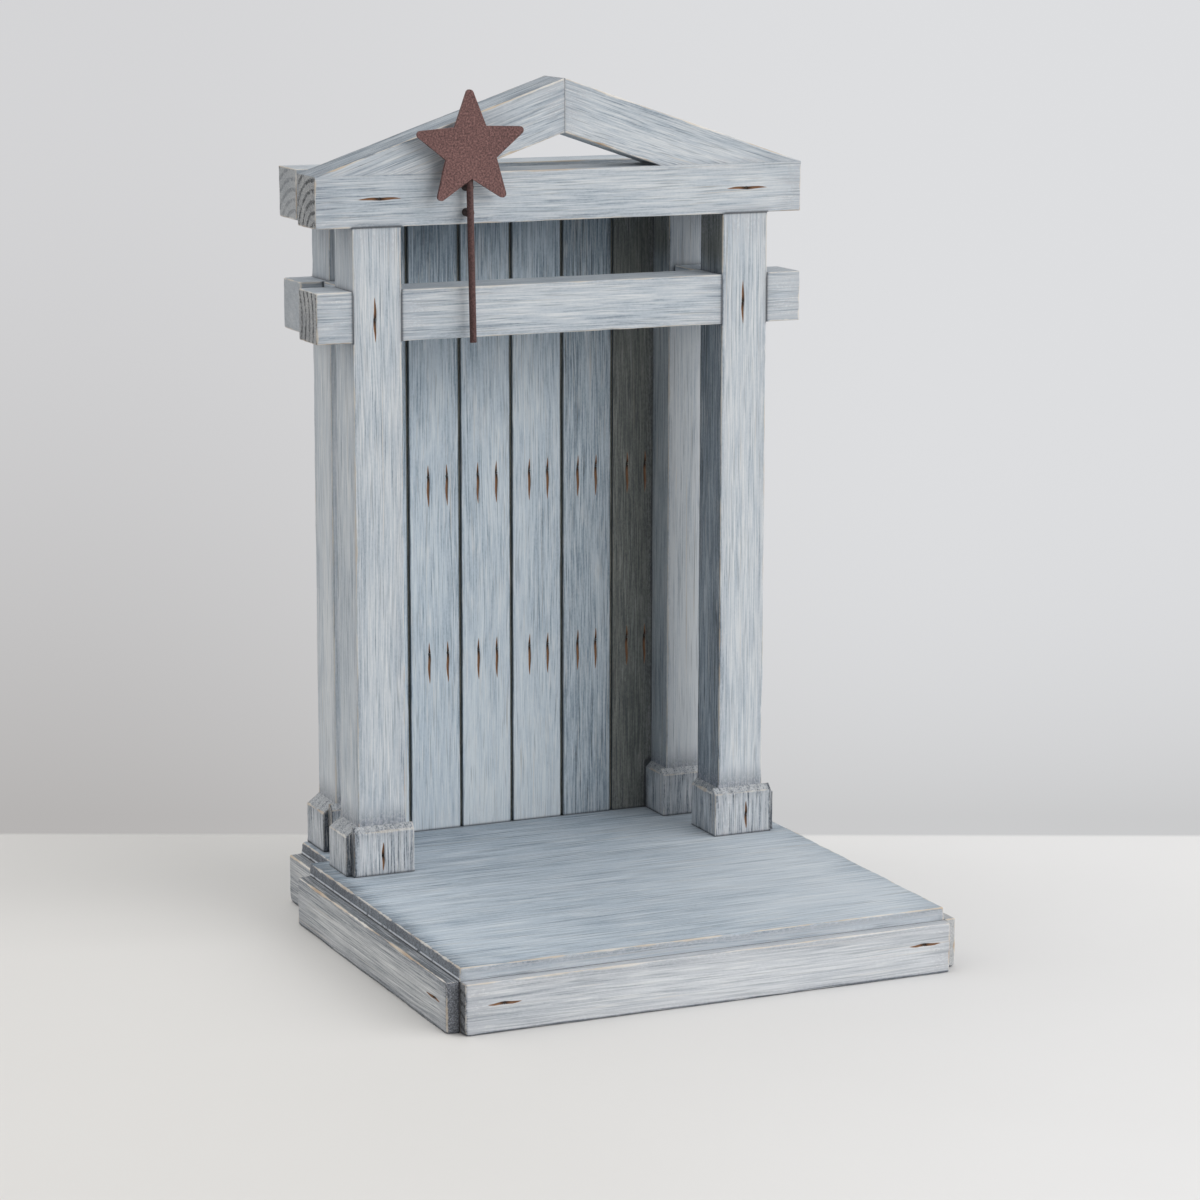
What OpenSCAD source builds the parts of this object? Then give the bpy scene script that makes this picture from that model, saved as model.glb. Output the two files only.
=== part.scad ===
// Wooden nativity stable: an open porch of square timber on a stepped base,
// with a boarded back, a low gable and a metal star that pulls out of its holes.
// Units are millimetres, +Z is up and the front faces -Y.
// The origin lies on the table, under the middle of the whole outline.

/* [Timber] */
// Side of the square stock of posts, beams, rails and rafters
stock = 20; // [17:0.5:24]
// Thickness of the strip that makes skirts and battens
strip_t = 5.3; // [4.5:0.1:7]
// Height of the strip that makes skirts and battens
strip_h = 19.6; // [15:0.2:22]

/* [Base] */
// Height of the deck's top above the table
deck_h = 24.6; // [23:0.2:34]
// Width of the wide front part of the deck, without skirts
stage_w = 201; // [190:1:260]
// Width of the narrow rear part of the deck outside each rear post
rear_margin = 7.9; // [5.5:0.1:10]
// Clear depth from the front of the base to the faces of the front posts
porch_d = 139.2; // [60:0.2:200]
// How far the wide part of the deck runs past the backs of the front posts
shoulder_tail = 5.5; // [2:0.5:14]

/* [Frames] */
// Length of each post
post_h = 256.5; // [200:0.5:320]
// Distance from the deck's side to the outer face of a front post
post_inset = 11.5; // [6:0.1:30]
// How much nearer the middle each rear post stands than its front post
rear_step = 4.9; // [0:0.1:8]
// Clear gap between the front frame and the rear frame
frame_gap = 19.5; // [12:0.5:40]
// How far each end of the front beam and front rail runs past its post
front_overhang = 15; // [11.5:0.1:30]
// How far each end of the rear beam runs past its post
rear_beam_overhang = 13.4; // [5:0.1:30]
// How far each end of the rear rail runs past its post
rear_rail_overhang = 12.1; // [11.5:0.1:30]
// Clear height between the rails' tops and the beams
rail_drop = 24.4; // [21:0.1:60]
// Slope of the two rafters in degrees
roof_slope = 18.75; // [16:0.25:30]

/* [Back panel] */
// Number of upright boards
board_count = 6; // [4:1:8]
// Thickness of a board
board_t = 4.5; // [4:0.1:6]
// Visible gap between two boards
board_gap = 1.2; // [0.8:0.1:2]
// Width of the rebate in a rear post that holds the panel's edge
rebate_w = 3.55; // [2.5:0.05:6]
// Thickness of a board's tongue
tongue_t = 1.4; // [1:0.1:1.8]
// Depth of a board's front face ahead of its tongue
tongue_setback = 1.4; // [1:0.1:1.8]
// How far a tongue reaches into the next board
tongue_bite = 2; // [1:0.1:3]
// Height of the lower batten's middle above the deck
low_batten_z = 70.9; // [30:0.1:100]
// Height of the upper batten's middle above the deck
high_batten_z = 144.6; // [125:0.1:190]
// Distance from a batten's end to the outer face of a rear post
batten_inset = 5.1; // [0:0.1:9]

/* [Plinths] */
// Height of a plinth up to where its bevel meets the post
plinth_h = 20; // [12:0.5:30]
// Thickness of the front and inner plinth blocks
thin_block_t = 2.6; // [2:0.1:4]
// Fall of the bevel on a front or inner block
thin_block_fall = 2.4; // [1:0.1:4]
// Thickness of the outer plinth blocks
side_block_t = 5.3; // [4:0.1:7]
// Fall of the bevel on an outer block
side_block_fall = 4; // [2:0.1:6]
// How far a front block runs past the outer face of its post
front_block_cover = 3.1; // [1:0.1:3.9]

/* [Dowels] */
// Radius of the upright dowels
dowel_r = 3; // [2:0.1:3.4]
// Depth of a post's dowel in the post and in the deck
foot_dowel_bite = 12; // [8:0.5:18]
// Depth of a dowel in the underside or the top of a beam
beam_dowel_bite = 8; // [6:0.2:8.2]
// Radius of the level dowels through the posts
rail_dowel_r = 2.5; // [1.5:0.1:2.6]
// Depth of a level dowel in a rail end or rail
rail_dowel_bite = 10; // [7:0.2:11]

/* [Nails] */
// Radius of a nail's shank
nail_r = 0.55; // [0.4:0.05:0.6]
// Depth of a nail's head below the surface
nail_sink = 0.8; // [0.3:0.1:1.5]
// Half the width of the lens-shaped mark round a nail
mark_r = 0.65; // [0.6:0.05:0.9]
// Length of a mark on a board, post or beam
long_mark_l = 16; // [10:0.5:18]
// How far the middle of a board's mark lies below its nail
board_mark_drop = 3.6; // [0:0.1:4]
// Length of a mark on a plinth block or skirt
short_mark_l = 12.2; // [8:0.2:14]
// Length of the nails through posts and beams
frame_nail_l = 30; // [26:0.5:31]
// Length of the nails through the boards
panel_nail_l = 8.8; // [7:0.1:9]
// Length of the nails through the front plinth blocks
plinth_nail_l = 8; // [5:0.2:8.4]
// Length of the nails through skirts and battens
strip_nail_l = 15; // [10:0.5:18]

/* [Star] */
// Distance from the front beam's left end to the star's middle
star_from_end = 61.6; // [50:0.2:75]
// Height of the star's middle above the front beam's underside
star_rise = 29.1; // [25:0.1:40]
// Lean of the star's top to the left in degrees
star_lean = 1.1; // [0:0.1:4]
// Distance from the middle to where a point's edges would meet
star_point_r = 25.8; // [20:0.1:32]
// Distance from the middle to an inner corner
star_inner_r = 11.05; // [9:0.05:13]
// Radius of the rounded points
star_tip_r = 1.5; // [0.5:0.1:2]
// Thickness of the plate
star_t = 1.5; // [1:0.1:3]
// Gap between the plate's back and the beam
star_gap = 5.7; // [5:0.1:12]
// Radius of the rod
rod_r = 1.35; // [1:0.05:1.8]
// Depth of the rod's seat in the plate
rod_seat = 0.3; // [0.1:0.05:0.6]
// Reach of the rod above the star's middle
rod_up = 6; // [0:0.5:15]
// Reach of the rod below the star's middle
rod_down = 74.9; // [30:0.1:110]
// Radius of the pegs
peg_r = 1.65; // [1.2:0.05:2]
// Depth of the pegs in the beam
peg_bite = 8; // [4:0.5:14]
// Drop of the upper peg below the star's middle
high_peg_drop = 14.6; // [14:0.1:16]
// Distance between the two pegs
peg_pitch = 9.9; // [5:0.1:11]

/* [Hidden] */
// Small fits and overruns
over = 1;
snug = 0.03;
run_gap = 0.07;
end_gap = 0.4;
$fn = 48;

// Places along Y, from the front of the base to the backs of the battens
total_d = porch_d + stock + frame_gap + stock + strip_t;
base_front_y = -total_d / 2;
deck_front_y = base_front_y + strip_t;
front_face_y = base_front_y + porch_d;
front_back_y = front_face_y + stock;
shoulder_y = front_back_y + shoulder_tail;
rear_face_y = front_back_y + frame_gap;
rear_back_y = rear_face_y + stock;
panel_face_y = rear_back_y - board_t;
batten_back_y = rear_back_y + strip_t;
front_mid_y = front_face_y + stock / 2;
rear_mid_y = rear_face_y + stock / 2;

// Places along X, all for the right side
front_out_x = stage_w / 2 - post_inset;
front_in_x = front_out_x - stock;
front_post_x = front_out_x - stock / 2;
rear_out_x = front_out_x - rear_step;
rear_in_x = rear_out_x - stock;
rear_post_x = rear_out_x - stock / 2;
spacer_x = (front_post_x + rear_post_x) / 2;
rear_deck_x = rear_out_x + rear_margin;
front_end_x = front_out_x + front_overhang;
rear_beam_end_x = rear_out_x + rear_beam_overhang;
rear_rail_end_x = rear_out_x + rear_rail_overhang;
batten_end_x = rear_out_x - batten_inset;
rafter_dowel_x = (front_end_x + stock / sin(roof_slope) / 4) / 2;

// Places along Z
post_top_z = deck_h + post_h;
beam_top_z = post_top_z + stock;
rail_z = post_top_z - rail_drop - stock;
plinth_top_z = deck_h + plinth_h;
thin_edge_z = plinth_top_z - thin_block_fall;
side_edge_z = plinth_top_z - side_block_fall;

// Boards of the back panel
panel_w = 2 * (rear_in_x + rebate_w - snug);
board_pitch = (panel_w + board_gap) / board_count;
board_face_w = board_pitch - board_gap;
tongue_front_y = panel_face_y + tongue_setback;
tongue_back_y = tongue_front_y + tongue_t;

// Level dowels lie low in the rails, so the frame nails pass above them
rail_dowel_rise_share = 0.22;
rail_dowel_z = rail_z + rail_dowel_rise_share * stock;

// Star
star_x = star_from_end - front_end_x;
star_z = post_top_z + star_rise;
star_back_y = front_face_y - star_gap;
rod_y = rod_r - rod_seat;
peg_l = star_gap + peg_bite - rod_y;
tip_steps = 8;

// Nail places as shares of the stock: sideways from the post's middle, then up.
// The first pair is on the left and the second on the right.
post_nail_shares = [[-0.05, 0.435], [-0.03, 0.425]];
beam_nail_shares = [[0.075, 0.545], [0.04, 0.5]];
plinth_nail_shares = [[-0.035, 0.425], [0.08, 0.455]];
// Nail places on the skirts as shares of the strip's height: in from the end, then up
front_skirt_nail_shares = [[0.796, 0.56], [0.561, 0.62]];
side_skirt_nail_shares = [0.673, 0.546];
// Nail places across each board's face, from left to right, as shares of its width
board_nail_shares = [0.34, 0.72];
// Shift of each board's nails as a share of its width
board_shift_shares = [0.01, 0.04, 0, 0.01, -0.03, -0.04];
// Places of the nails that hold a batten to a post, above and below its middle
batten_nail_share = 0.25;

// Directions in which a nail is driven
angles_to_back = [-90, 0, 0];
angles_to_front = [90, 0, 0];
angles_to_right = [-90, 0, -90];
angles_to_left = [-90, 0, 90];
// Turn of a nail hole about its own axis
seam_turn = [0, 0, 35];
// Directions in which the grain, and so a nail's mark, runs
grain_up = [0, 0, 0];
grain_across = [0, 90, 0];
grain_deep = [0, 90, 90];

// A box between two opposite corners
module block(low, high) {
    translate(low) cube(high - low);
}

// A flat shape in X and Z, thick from y0 to y1
module along_y(y0, y1) {
    translate([0, y1, 0]) rotate([90, 0, 0]) linear_extrude(y1 - y0) children();
}

// A flat shape in Y and Z, thick from x0 to x1
module along_x(x0, x1) {
    translate([x0, 0, 0]) rotate([90, 0, 90]) linear_extrude(x1 - x0) children();
}

module on_side(side) {
    if (side < 0) mirror([1, 0, 0]) children();
    else children();
}

// Nails: [place on the surface, driving direction, grain direction, mark length, nail length]
function side_pick(side, pair) = side < 0 ? pair[0] : pair[1];

function stock_nail(x, y, z, shares, drive, grain, mark_l, nail_l) =
    [[x + shares[0] * stock, y, z + shares[1] * stock], drive, grain, mark_l, nail_l];

function front_post_nail(side) =
    stock_nail(side * front_post_x, front_face_y, rail_z, side_pick(side, post_nail_shares),
        angles_to_back, grain_up, long_mark_l, frame_nail_l);

function rear_post_nail(side) =
    stock_nail(side * rear_post_x, rear_back_y, rail_z, side_pick(side, post_nail_shares),
        angles_to_front, grain_up, long_mark_l, frame_nail_l);

function front_beam_nail(side) =
    stock_nail(side * front_post_x, front_face_y, post_top_z, side_pick(side, beam_nail_shares),
        angles_to_back, grain_across, long_mark_l, frame_nail_l);

function rear_beam_nail(side) =
    stock_nail(side * rear_post_x, rear_back_y, post_top_z, side_pick(side, beam_nail_shares),
        angles_to_front, grain_across, long_mark_l, frame_nail_l);

function plinth_nail(side) =
    stock_nail(side * front_post_x, front_face_y - thin_block_t, deck_h,
        side_pick(side, plinth_nail_shares), angles_to_back, grain_up, short_mark_l, plinth_nail_l);

function front_skirt_nail(side) =
    let (shares = side_pick(side, front_skirt_nail_shares))
    [[side * (stage_w / 2 - shares[0] * strip_h), base_front_y, shares[1] * strip_h],
        angles_to_back, grain_across, short_mark_l, strip_nail_l];

function side_skirt_nail(side) =
    [[side * (stage_w / 2 + strip_t), deck_front_y + side_skirt_nail_shares[0] * strip_h,
        side_skirt_nail_shares[1] * strip_h],
        side < 0 ? angles_to_right : angles_to_left, grain_deep, short_mark_l, strip_nail_l];

function batten_z(high) = deck_h + (high ? high_batten_z : low_batten_z);

function batten_nails(side) = [
    for (high = [false, true], up = [-1, 1])
        [[side * rear_post_x, batten_back_y, batten_z(high) + up * batten_nail_share * strip_h],
            angles_to_front, grain_across, short_mark_l / 2, strip_nail_l]
];

function board_x(i) = -panel_w / 2 + i * board_pitch;

function board_shift(i) = board_shift_shares[i % len(board_shift_shares)];

function board_nails(i) = [
    for (high = [false, true], share = board_nail_shares)
        [[board_x(i) + (share + board_shift(i)) * board_face_w, panel_face_y,
            batten_z(high) + board_mark_drop],
            angles_to_back, grain_up, long_mark_l, panel_nail_l]
];

// A lens-shaped gouge, widest in the middle and pointed at both ends
mark_steps = 6;
function mark_outline(length) = [
    for (i = [0 : mark_steps])
        let (along = 2 * i / mark_steps - 1) [mark_r * (1 - along * along), along * length / 2]
];

module nail(n) {
    translate(n[0]) rotate(n[1]) translate([0, 0, nail_sink])
        cylinder(r = nail_r, h = n[4] - nail_sink);
}

// The hole that a nail makes in what it goes through, turned about its own axis so that
// its seam lies clear of the mark's edges
module nail_hole(n) {
    translate(n[0]) rotate(n[1]) rotate(seam_turn) translate([0, 0, -over])
        cylinder(r = nail_r + snug, h = n[4] + over + snug);
}

// The hole and the mark in the piece that the nail enters first. The mark's middle lies
// that much lower than the nail.
module nail_cut(n, drop = 0) {
    nail_hole(n);
    translate([n[0][0], n[0][1], n[0][2] - drop]) rotate(n[2])
        rotate_extrude() polygon(mark_outline(n[3]));
}

// Upright dowels stand on a joint at height z, with a bite above and below it
module upright_dowel(x, y, z, below, above) {
    translate([x, y, z - below]) cylinder(r = dowel_r, h = below + above);
}

module upright_dowel_hole(x, y, z, below, above) {
    translate([x, y, z - below - end_gap])
        cylinder(r = dowel_r + snug, h = below + above + 2 * end_gap);
}

// Level dowels lie along X from x0 to x1 on the right side
module level_dowel(side, y, x0, x1) {
    on_side(side) translate([x0, y, rail_dowel_z]) rotate([0, 90, 0])
        cylinder(r = rail_dowel_r, h = x1 - x0);
}

module level_dowel_hole(side, y, x0, x1) {
    on_side(side) translate([x0 - end_gap, y, rail_dowel_z]) rotate([0, 90, 0])
        cylinder(r = rail_dowel_r + snug, h = x1 - x0 + 2 * end_gap);
}

module foot_dowels(hole = false) {
    for (side = [-1, 1], place = [[front_post_x, front_mid_y], [rear_post_x, rear_mid_y]])
        if (hole) upright_dowel_hole(side * place[0], place[1], deck_h,
            foot_dowel_bite, foot_dowel_bite);
        else upright_dowel(side * place[0], place[1], deck_h, foot_dowel_bite, foot_dowel_bite);
}

module top_dowels(hole = false) {
    for (side = [-1, 1], place = [[front_post_x, front_mid_y], [rear_post_x, rear_mid_y]])
        if (hole) upright_dowel_hole(side * place[0], place[1], post_top_z,
            foot_dowel_bite, beam_dowel_bite);
        else upright_dowel(side * place[0], place[1], post_top_z,
            foot_dowel_bite, beam_dowel_bite);
}

module roof_dowels(hole = false) {
    for (side = [-1, 1])
        if (hole) upright_dowel_hole(side * rafter_dowel_x, front_mid_y, beam_top_z,
            beam_dowel_bite, beam_dowel_bite);
        else upright_dowel(side * rafter_dowel_x, front_mid_y, beam_top_z,
            beam_dowel_bite, beam_dowel_bite);
}

module front_rail_dowel(side, hole = false) {
    x0 = front_in_x - rail_dowel_bite;
    x1 = front_out_x + rail_dowel_bite;
    if (hole) level_dowel_hole(side, front_mid_y, x0, x1);
    else level_dowel(side, front_mid_y, x0, x1);
}

module rear_rail_dowel(side, hole = false) {
    x0 = rear_out_x - rail_dowel_bite;
    x1 = rear_out_x + rail_dowel_bite;
    if (hole) level_dowel_hole(side, rear_mid_y, x0, x1);
    else level_dowel(side, rear_mid_y, x0, x1);
}

// Base
module deck() {
    color("lightsteelblue") difference() {
        linear_extrude(deck_h) polygon([
            [-stage_w / 2, deck_front_y], [stage_w / 2, deck_front_y],
            [stage_w / 2, shoulder_y], [rear_deck_x, shoulder_y],
            [rear_deck_x, rear_back_y], [-rear_deck_x, rear_back_y],
            [-rear_deck_x, shoulder_y], [-stage_w / 2, shoulder_y]
        ]);
        foot_dowels(hole = true);
        for (side = [-1, 1]) {
            nail_hole(front_skirt_nail(side));
            nail_hole(side_skirt_nail(side));
        }
    }
}

module front_skirt() {
    color("lightslategray") difference() {
        block([-stage_w / 2, base_front_y, 0], [stage_w / 2, deck_front_y, strip_h]);
        for (side = [-1, 1]) nail_cut(front_skirt_nail(side));
    }
}

module side_skirt(side) {
    color("slategray") on_side(side) difference() {
        block([stage_w / 2, deck_front_y, 0], [stage_w / 2 + strip_t, shoulder_y, strip_h]);
        nail_cut(side_skirt_nail(1));
    }
}

module rear_skirt(side) {
    color("slategray") on_side(side)
        block([rear_deck_x, shoulder_y, 0], [rear_deck_x + strip_t, rear_back_y, strip_h]);
}

// Posts
module front_post(side) {
    x = side * front_post_x;
    color("lightsteelblue") difference() {
        block([x - stock / 2, front_face_y, deck_h], [x + stock / 2, front_back_y, post_top_z]);
        foot_dowels(hole = true);
        top_dowels(hole = true);
        front_rail_dowel(side, hole = true);
        nail_cut(front_post_nail(side));
        nail_hole(plinth_nail(side));
    }
}

module rear_post(side) {
    x = side * rear_post_x;
    color("slategray") difference() {
        block([x - stock / 2, rear_face_y, deck_h], [x + stock / 2, rear_back_y, post_top_z]);
        on_side(side) block([rear_in_x - over, panel_face_y, deck_h - over],
            [rear_in_x + rebate_w, rear_back_y + over, post_top_z + over]);
        foot_dowels(hole = true);
        top_dowels(hole = true);
        rear_rail_dowel(side, hole = true);
        nail_cut(rear_post_nail(side));
        for (n = batten_nails(side)) nail_hole(n);
    }
}

// Plinth blocks round a post foot, drawn for the right side
module plinth_front(side, in_x, out_x, face_y) {
    low_x = in_x - thin_block_t;
    high_x = out_x + front_block_cover;
    high_x_z = plinth_top_z - side_block_fall * front_block_cover / side_block_t;
    color("lightsteelblue") on_side(side) intersection() {
        along_x(low_x, high_x) polygon([
            [face_y - thin_block_t, deck_h], [face_y, deck_h],
            [face_y, plinth_top_z], [face_y - thin_block_t, thin_edge_z]
        ]);
        along_y(face_y - thin_block_t - over, face_y + over) polygon([
            [low_x, deck_h], [high_x, deck_h], [high_x, high_x_z],
            [out_x, plinth_top_z], [in_x, plinth_top_z], [low_x, thin_edge_z]
        ]);
    }
}

module plinth_outer(side, out_x, face_y, back_y) {
    color("slategray") on_side(side) along_y(face_y, back_y) polygon([
        [out_x, deck_h], [out_x + side_block_t, deck_h],
        [out_x + side_block_t, side_edge_z], [out_x, plinth_top_z]
    ]);
}

module plinth_inner(side, in_x, face_y, back_y) {
    color("slategray") on_side(side) along_y(face_y, back_y) polygon([
        [in_x, deck_h], [in_x, plinth_top_z],
        [in_x - thin_block_t, thin_edge_z], [in_x - thin_block_t, deck_h]
    ]);
}

module front_plinth_front(side) {
    difference() {
        plinth_front(side, front_in_x, front_out_x, front_face_y);
        nail_cut(plinth_nail(side));
    }
}

// Beams and rafters
module front_beam() {
    color("lightsteelblue") difference() {
        block([-front_end_x, front_face_y, post_top_z], [front_end_x, front_back_y, beam_top_z]);
        top_dowels(hole = true);
        roof_dowels(hole = true);
        peg_holes();
        for (side = [-1, 1]) nail_cut(front_beam_nail(side));
    }
}

module rear_beam() {
    color("slategray") difference() {
        block([-rear_beam_end_x, rear_face_y, post_top_z],
            [rear_beam_end_x, rear_back_y, beam_top_z]);
        top_dowels(hole = true);
        for (side = [-1, 1]) nail_cut(rear_beam_nail(side));
    }
}

module beam_spacer(side) {
    x = side * spacer_x;
    color("slategray") difference() {
        block([x - stock / 2, front_back_y, post_top_z], [x + stock / 2, rear_face_y, beam_top_z]);
        nail_hole(front_beam_nail(side));
        nail_hole(rear_beam_nail(side));
    }
}

module rafter(side) {
    rise = front_end_x * tan(roof_slope);
    inner_foot_x = front_end_x - stock / sin(roof_slope);
    inner_rise = inner_foot_x * tan(roof_slope);
    color("lightsteelblue") difference() {
        on_side(side) along_y(front_face_y, front_back_y) polygon([
            [front_end_x, beam_top_z], [0, beam_top_z + rise],
            [0, beam_top_z + inner_rise], [inner_foot_x, beam_top_z]
        ]);
        roof_dowels(hole = true);
    }
}

// Rails
module front_rail() {
    color("lightsteelblue") difference() {
        block([-front_in_x, front_face_y, rail_z], [front_in_x, front_back_y, rail_z + stock]);
        for (side = [-1, 1]) front_rail_dowel(side, hole = true);
    }
}

module front_rail_end(side) {
    color("lightslategray") difference() {
        on_side(side) block([front_out_x, front_face_y, rail_z],
            [front_end_x, front_back_y, rail_z + stock]);
        front_rail_dowel(side, hole = true);
    }
}

module rear_rail_end(side) {
    color("slategray") difference() {
        on_side(side) block([rear_out_x, rear_face_y, rail_z],
            [rear_rail_end_x, rear_back_y, rail_z + stock]);
        rear_rail_dowel(side, hole = true);
    }
}

module side_rail(side) {
    x = side * spacer_x;
    color("slategray") difference() {
        block([x - stock / 2, front_back_y, rail_z], [x + stock / 2, rear_face_y, rail_z + stock]);
        nail_hole(front_post_nail(side));
        nail_hole(rear_post_nail(side));
    }
}

// Back panel: a tongue on each board's right edge enters a groove in the next board
module back_board(i) {
    x0 = board_x(i);
    x1 = x0 + board_face_w;
    tongue_x = x1 + board_gap + tongue_bite;
    groove_x = x0 + tongue_bite + end_gap;
    tongue = i < board_count - 1 ? [
        [x1, tongue_front_y], [tongue_x, tongue_front_y],
        [tongue_x, tongue_back_y], [x1, tongue_back_y]
    ] : [];
    groove = i > 0 ? [
        [x0, tongue_back_y + snug], [groove_x, tongue_back_y + snug],
        [groove_x, tongue_front_y - snug], [x0, tongue_front_y - snug]
    ] : [];
    if (i < board_count) color("cadetblue") difference() {
        translate([0, 0, deck_h]) linear_extrude(post_h) polygon(concat(
            [[x0, panel_face_y], [x1, panel_face_y]], tongue,
            [[x1, rear_back_y], [x0, rear_back_y]], groove));
        for (n = board_nails(i)) nail_cut(n, board_mark_drop);
    }
}

module batten(high) {
    z = batten_z(high);
    color("slategray") difference() {
        block([-batten_end_x, rear_back_y, z - strip_h / 2],
            [batten_end_x, batten_back_y, z + strip_h / 2]);
        for (i = [0 : board_count - 1], n = board_nails(i)) nail_hole(n);
        for (side = [-1, 1], n = batten_nails(side)) nail_cut(n);
    }
}

// Hidden fixings
module post_foot_dowels() {
    color("burlywood") foot_dowels();
}

module post_top_dowels() {
    color("burlywood") top_dowels();
}

module rafter_dowels() {
    color("burlywood") roof_dowels();
}

module rail_dowels() {
    color("burlywood") for (side = [-1, 1]) {
        front_rail_dowel(side);
        rear_rail_dowel(side);
    }
}

module panel_nails() {
    color("dimgray") for (i = [0 : board_count - 1], n = board_nails(i)) nail(n);
}

module frame_nails() {
    color("dimgray") for (side = [-1, 1]) {
        nail(front_post_nail(side));
        nail(rear_post_nail(side));
        nail(front_beam_nail(side));
        nail(rear_beam_nail(side));
    }
}

module all_batten_nails() {
    color("dimgray") for (side = [-1, 1], n = batten_nails(side)) nail(n);
}

module plinth_nails() {
    color("dimgray") for (side = [-1, 1]) nail(plinth_nail(side));
}

module skirt_nails() {
    color("dimgray") for (side = [-1, 1]) {
        nail(front_skirt_nail(side));
        nail(side_skirt_nail(side));
    }
}

// Star, drawn about its own middle at the back of its plate, and leant as one piece
module on_star() {
    translate([star_x, star_back_y, star_z]) rotate([0, -star_lean, 0]) children();
}

point_turn = 360 / 5;
point_slope = atan(star_inner_r * sin(point_turn / 2)
    / (star_point_r - star_inner_r * cos(point_turn / 2)));
tip_r_from_middle = star_point_r - star_tip_r / sin(point_slope);

function star_outline() = [
    for (i = [0 : 4]) let (a = 90 + i * point_turn)
        for (p = concat(
            [for (j = [0 : tip_steps])
                let (b = a + (2 * j / tip_steps - 1) * (90 - point_slope))
                    tip_r_from_middle * [cos(a), sin(a)] + star_tip_r * [cos(b), sin(b)]],
            [star_inner_r * [cos(a + point_turn / 2), sin(a + point_turn / 2)]])) p
];

module rod_shape() {
    translate([0, rod_y, -rod_down]) cylinder(r = rod_r, h = rod_down + rod_up);
}

module star_plate() {
    color("sienna") on_star() difference() {
        along_y(-star_t, 0) polygon(star_outline());
        rod_shape();
    }
}

module star_rod() {
    color("saddlebrown") on_star() rod_shape();
}

module pegs(r, length) {
    for (drop = [high_peg_drop, high_peg_drop + peg_pitch])
        translate([0, rod_y, -drop]) rotate(angles_to_back) cylinder(r = r, h = length);
}

module star_pegs() {
    color("saddlebrown") on_star() difference() {
        pegs(peg_r, peg_l);
        rod_shape();
    }
}

module peg_holes() {
    on_star() pegs(peg_r + run_gap, peg_l + end_gap);
}

deck();
front_skirt();
side_skirt(-1);  // left_skirt
side_skirt(1);  // right_skirt
rear_skirt(-1);  // rear_left_skirt
rear_skirt(1);  // rear_right_skirt
front_post(-1);  // front_left_post
front_post(1);  // front_right_post
rear_post(-1);  // rear_left_post
rear_post(1);  // rear_right_post
front_plinth_front(-1);  // front_left_plinth_front
plinth_outer(-1, front_out_x, front_face_y, front_back_y);  // front_left_plinth_outer
plinth_inner(-1, front_in_x, front_face_y, front_back_y);  // front_left_plinth_inner
front_plinth_front(1);  // front_right_plinth_front
plinth_outer(1, front_out_x, front_face_y, front_back_y);  // front_right_plinth_outer
plinth_inner(1, front_in_x, front_face_y, front_back_y);  // front_right_plinth_inner
plinth_front(-1, rear_in_x, rear_out_x, rear_face_y);  // rear_left_plinth_front
plinth_outer(-1, rear_out_x, rear_face_y, rear_back_y);  // rear_left_plinth_outer
plinth_inner(-1, rear_in_x, rear_face_y, panel_face_y);  // rear_left_plinth_inner
plinth_front(1, rear_in_x, rear_out_x, rear_face_y);  // rear_right_plinth_front
plinth_outer(1, rear_out_x, rear_face_y, rear_back_y);  // rear_right_plinth_outer
plinth_inner(1, rear_in_x, rear_face_y, panel_face_y);  // rear_right_plinth_inner
front_beam();
rear_beam();
beam_spacer(-1);  // left_beam_spacer
beam_spacer(1);  // right_beam_spacer
rafter(-1);  // left_rafter
rafter(1);  // right_rafter
front_rail();
front_rail_end(-1);  // front_left_rail_end
front_rail_end(1);  // front_right_rail_end
rear_rail_end(-1);  // rear_left_rail_end
rear_rail_end(1);  // rear_right_rail_end
side_rail(-1);  // left_side_rail
side_rail(1);  // right_side_rail
back_board(0);  // back_board_1
back_board(1);  // back_board_2
back_board(2);  // back_board_3
back_board(3);  // back_board_4
back_board(4);  // back_board_5
back_board(5);  // back_board_6
batten(false);  // lower_batten
batten(true);  // upper_batten
post_foot_dowels();
post_top_dowels();
rafter_dowels();
rail_dowels();
panel_nails();
frame_nails();
all_batten_nails();  // batten_nails
plinth_nails();
skirt_nails();
star_plate();
star_rod();
star_pegs();
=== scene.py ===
"""Looks of the wooden nativity stable: worn timber with a blue-grey wash and a rust-brown star.

Lengths are in millimetres until a mesh is made. Each timber is a fine grid over its CAD piece's box,
with its arrises worn round, its corners nicked and the gouges round its nails pressed in.
"""

import math

import bpy
import numpy as np
from mathutils import Matrix, Vector


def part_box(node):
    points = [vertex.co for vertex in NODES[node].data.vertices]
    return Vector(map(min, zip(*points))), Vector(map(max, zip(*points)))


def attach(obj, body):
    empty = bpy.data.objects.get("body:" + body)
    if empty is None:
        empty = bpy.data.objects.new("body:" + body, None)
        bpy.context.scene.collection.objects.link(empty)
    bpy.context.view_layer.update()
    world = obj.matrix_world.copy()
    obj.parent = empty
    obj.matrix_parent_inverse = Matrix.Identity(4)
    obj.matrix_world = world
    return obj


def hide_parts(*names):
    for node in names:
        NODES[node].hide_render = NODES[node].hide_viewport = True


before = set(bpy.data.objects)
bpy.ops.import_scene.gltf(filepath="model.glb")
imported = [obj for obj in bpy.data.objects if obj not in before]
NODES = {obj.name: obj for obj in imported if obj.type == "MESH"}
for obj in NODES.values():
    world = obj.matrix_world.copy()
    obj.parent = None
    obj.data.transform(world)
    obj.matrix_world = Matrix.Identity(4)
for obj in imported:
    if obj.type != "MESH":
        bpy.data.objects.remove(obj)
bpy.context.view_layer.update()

MM = 0.001

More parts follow.
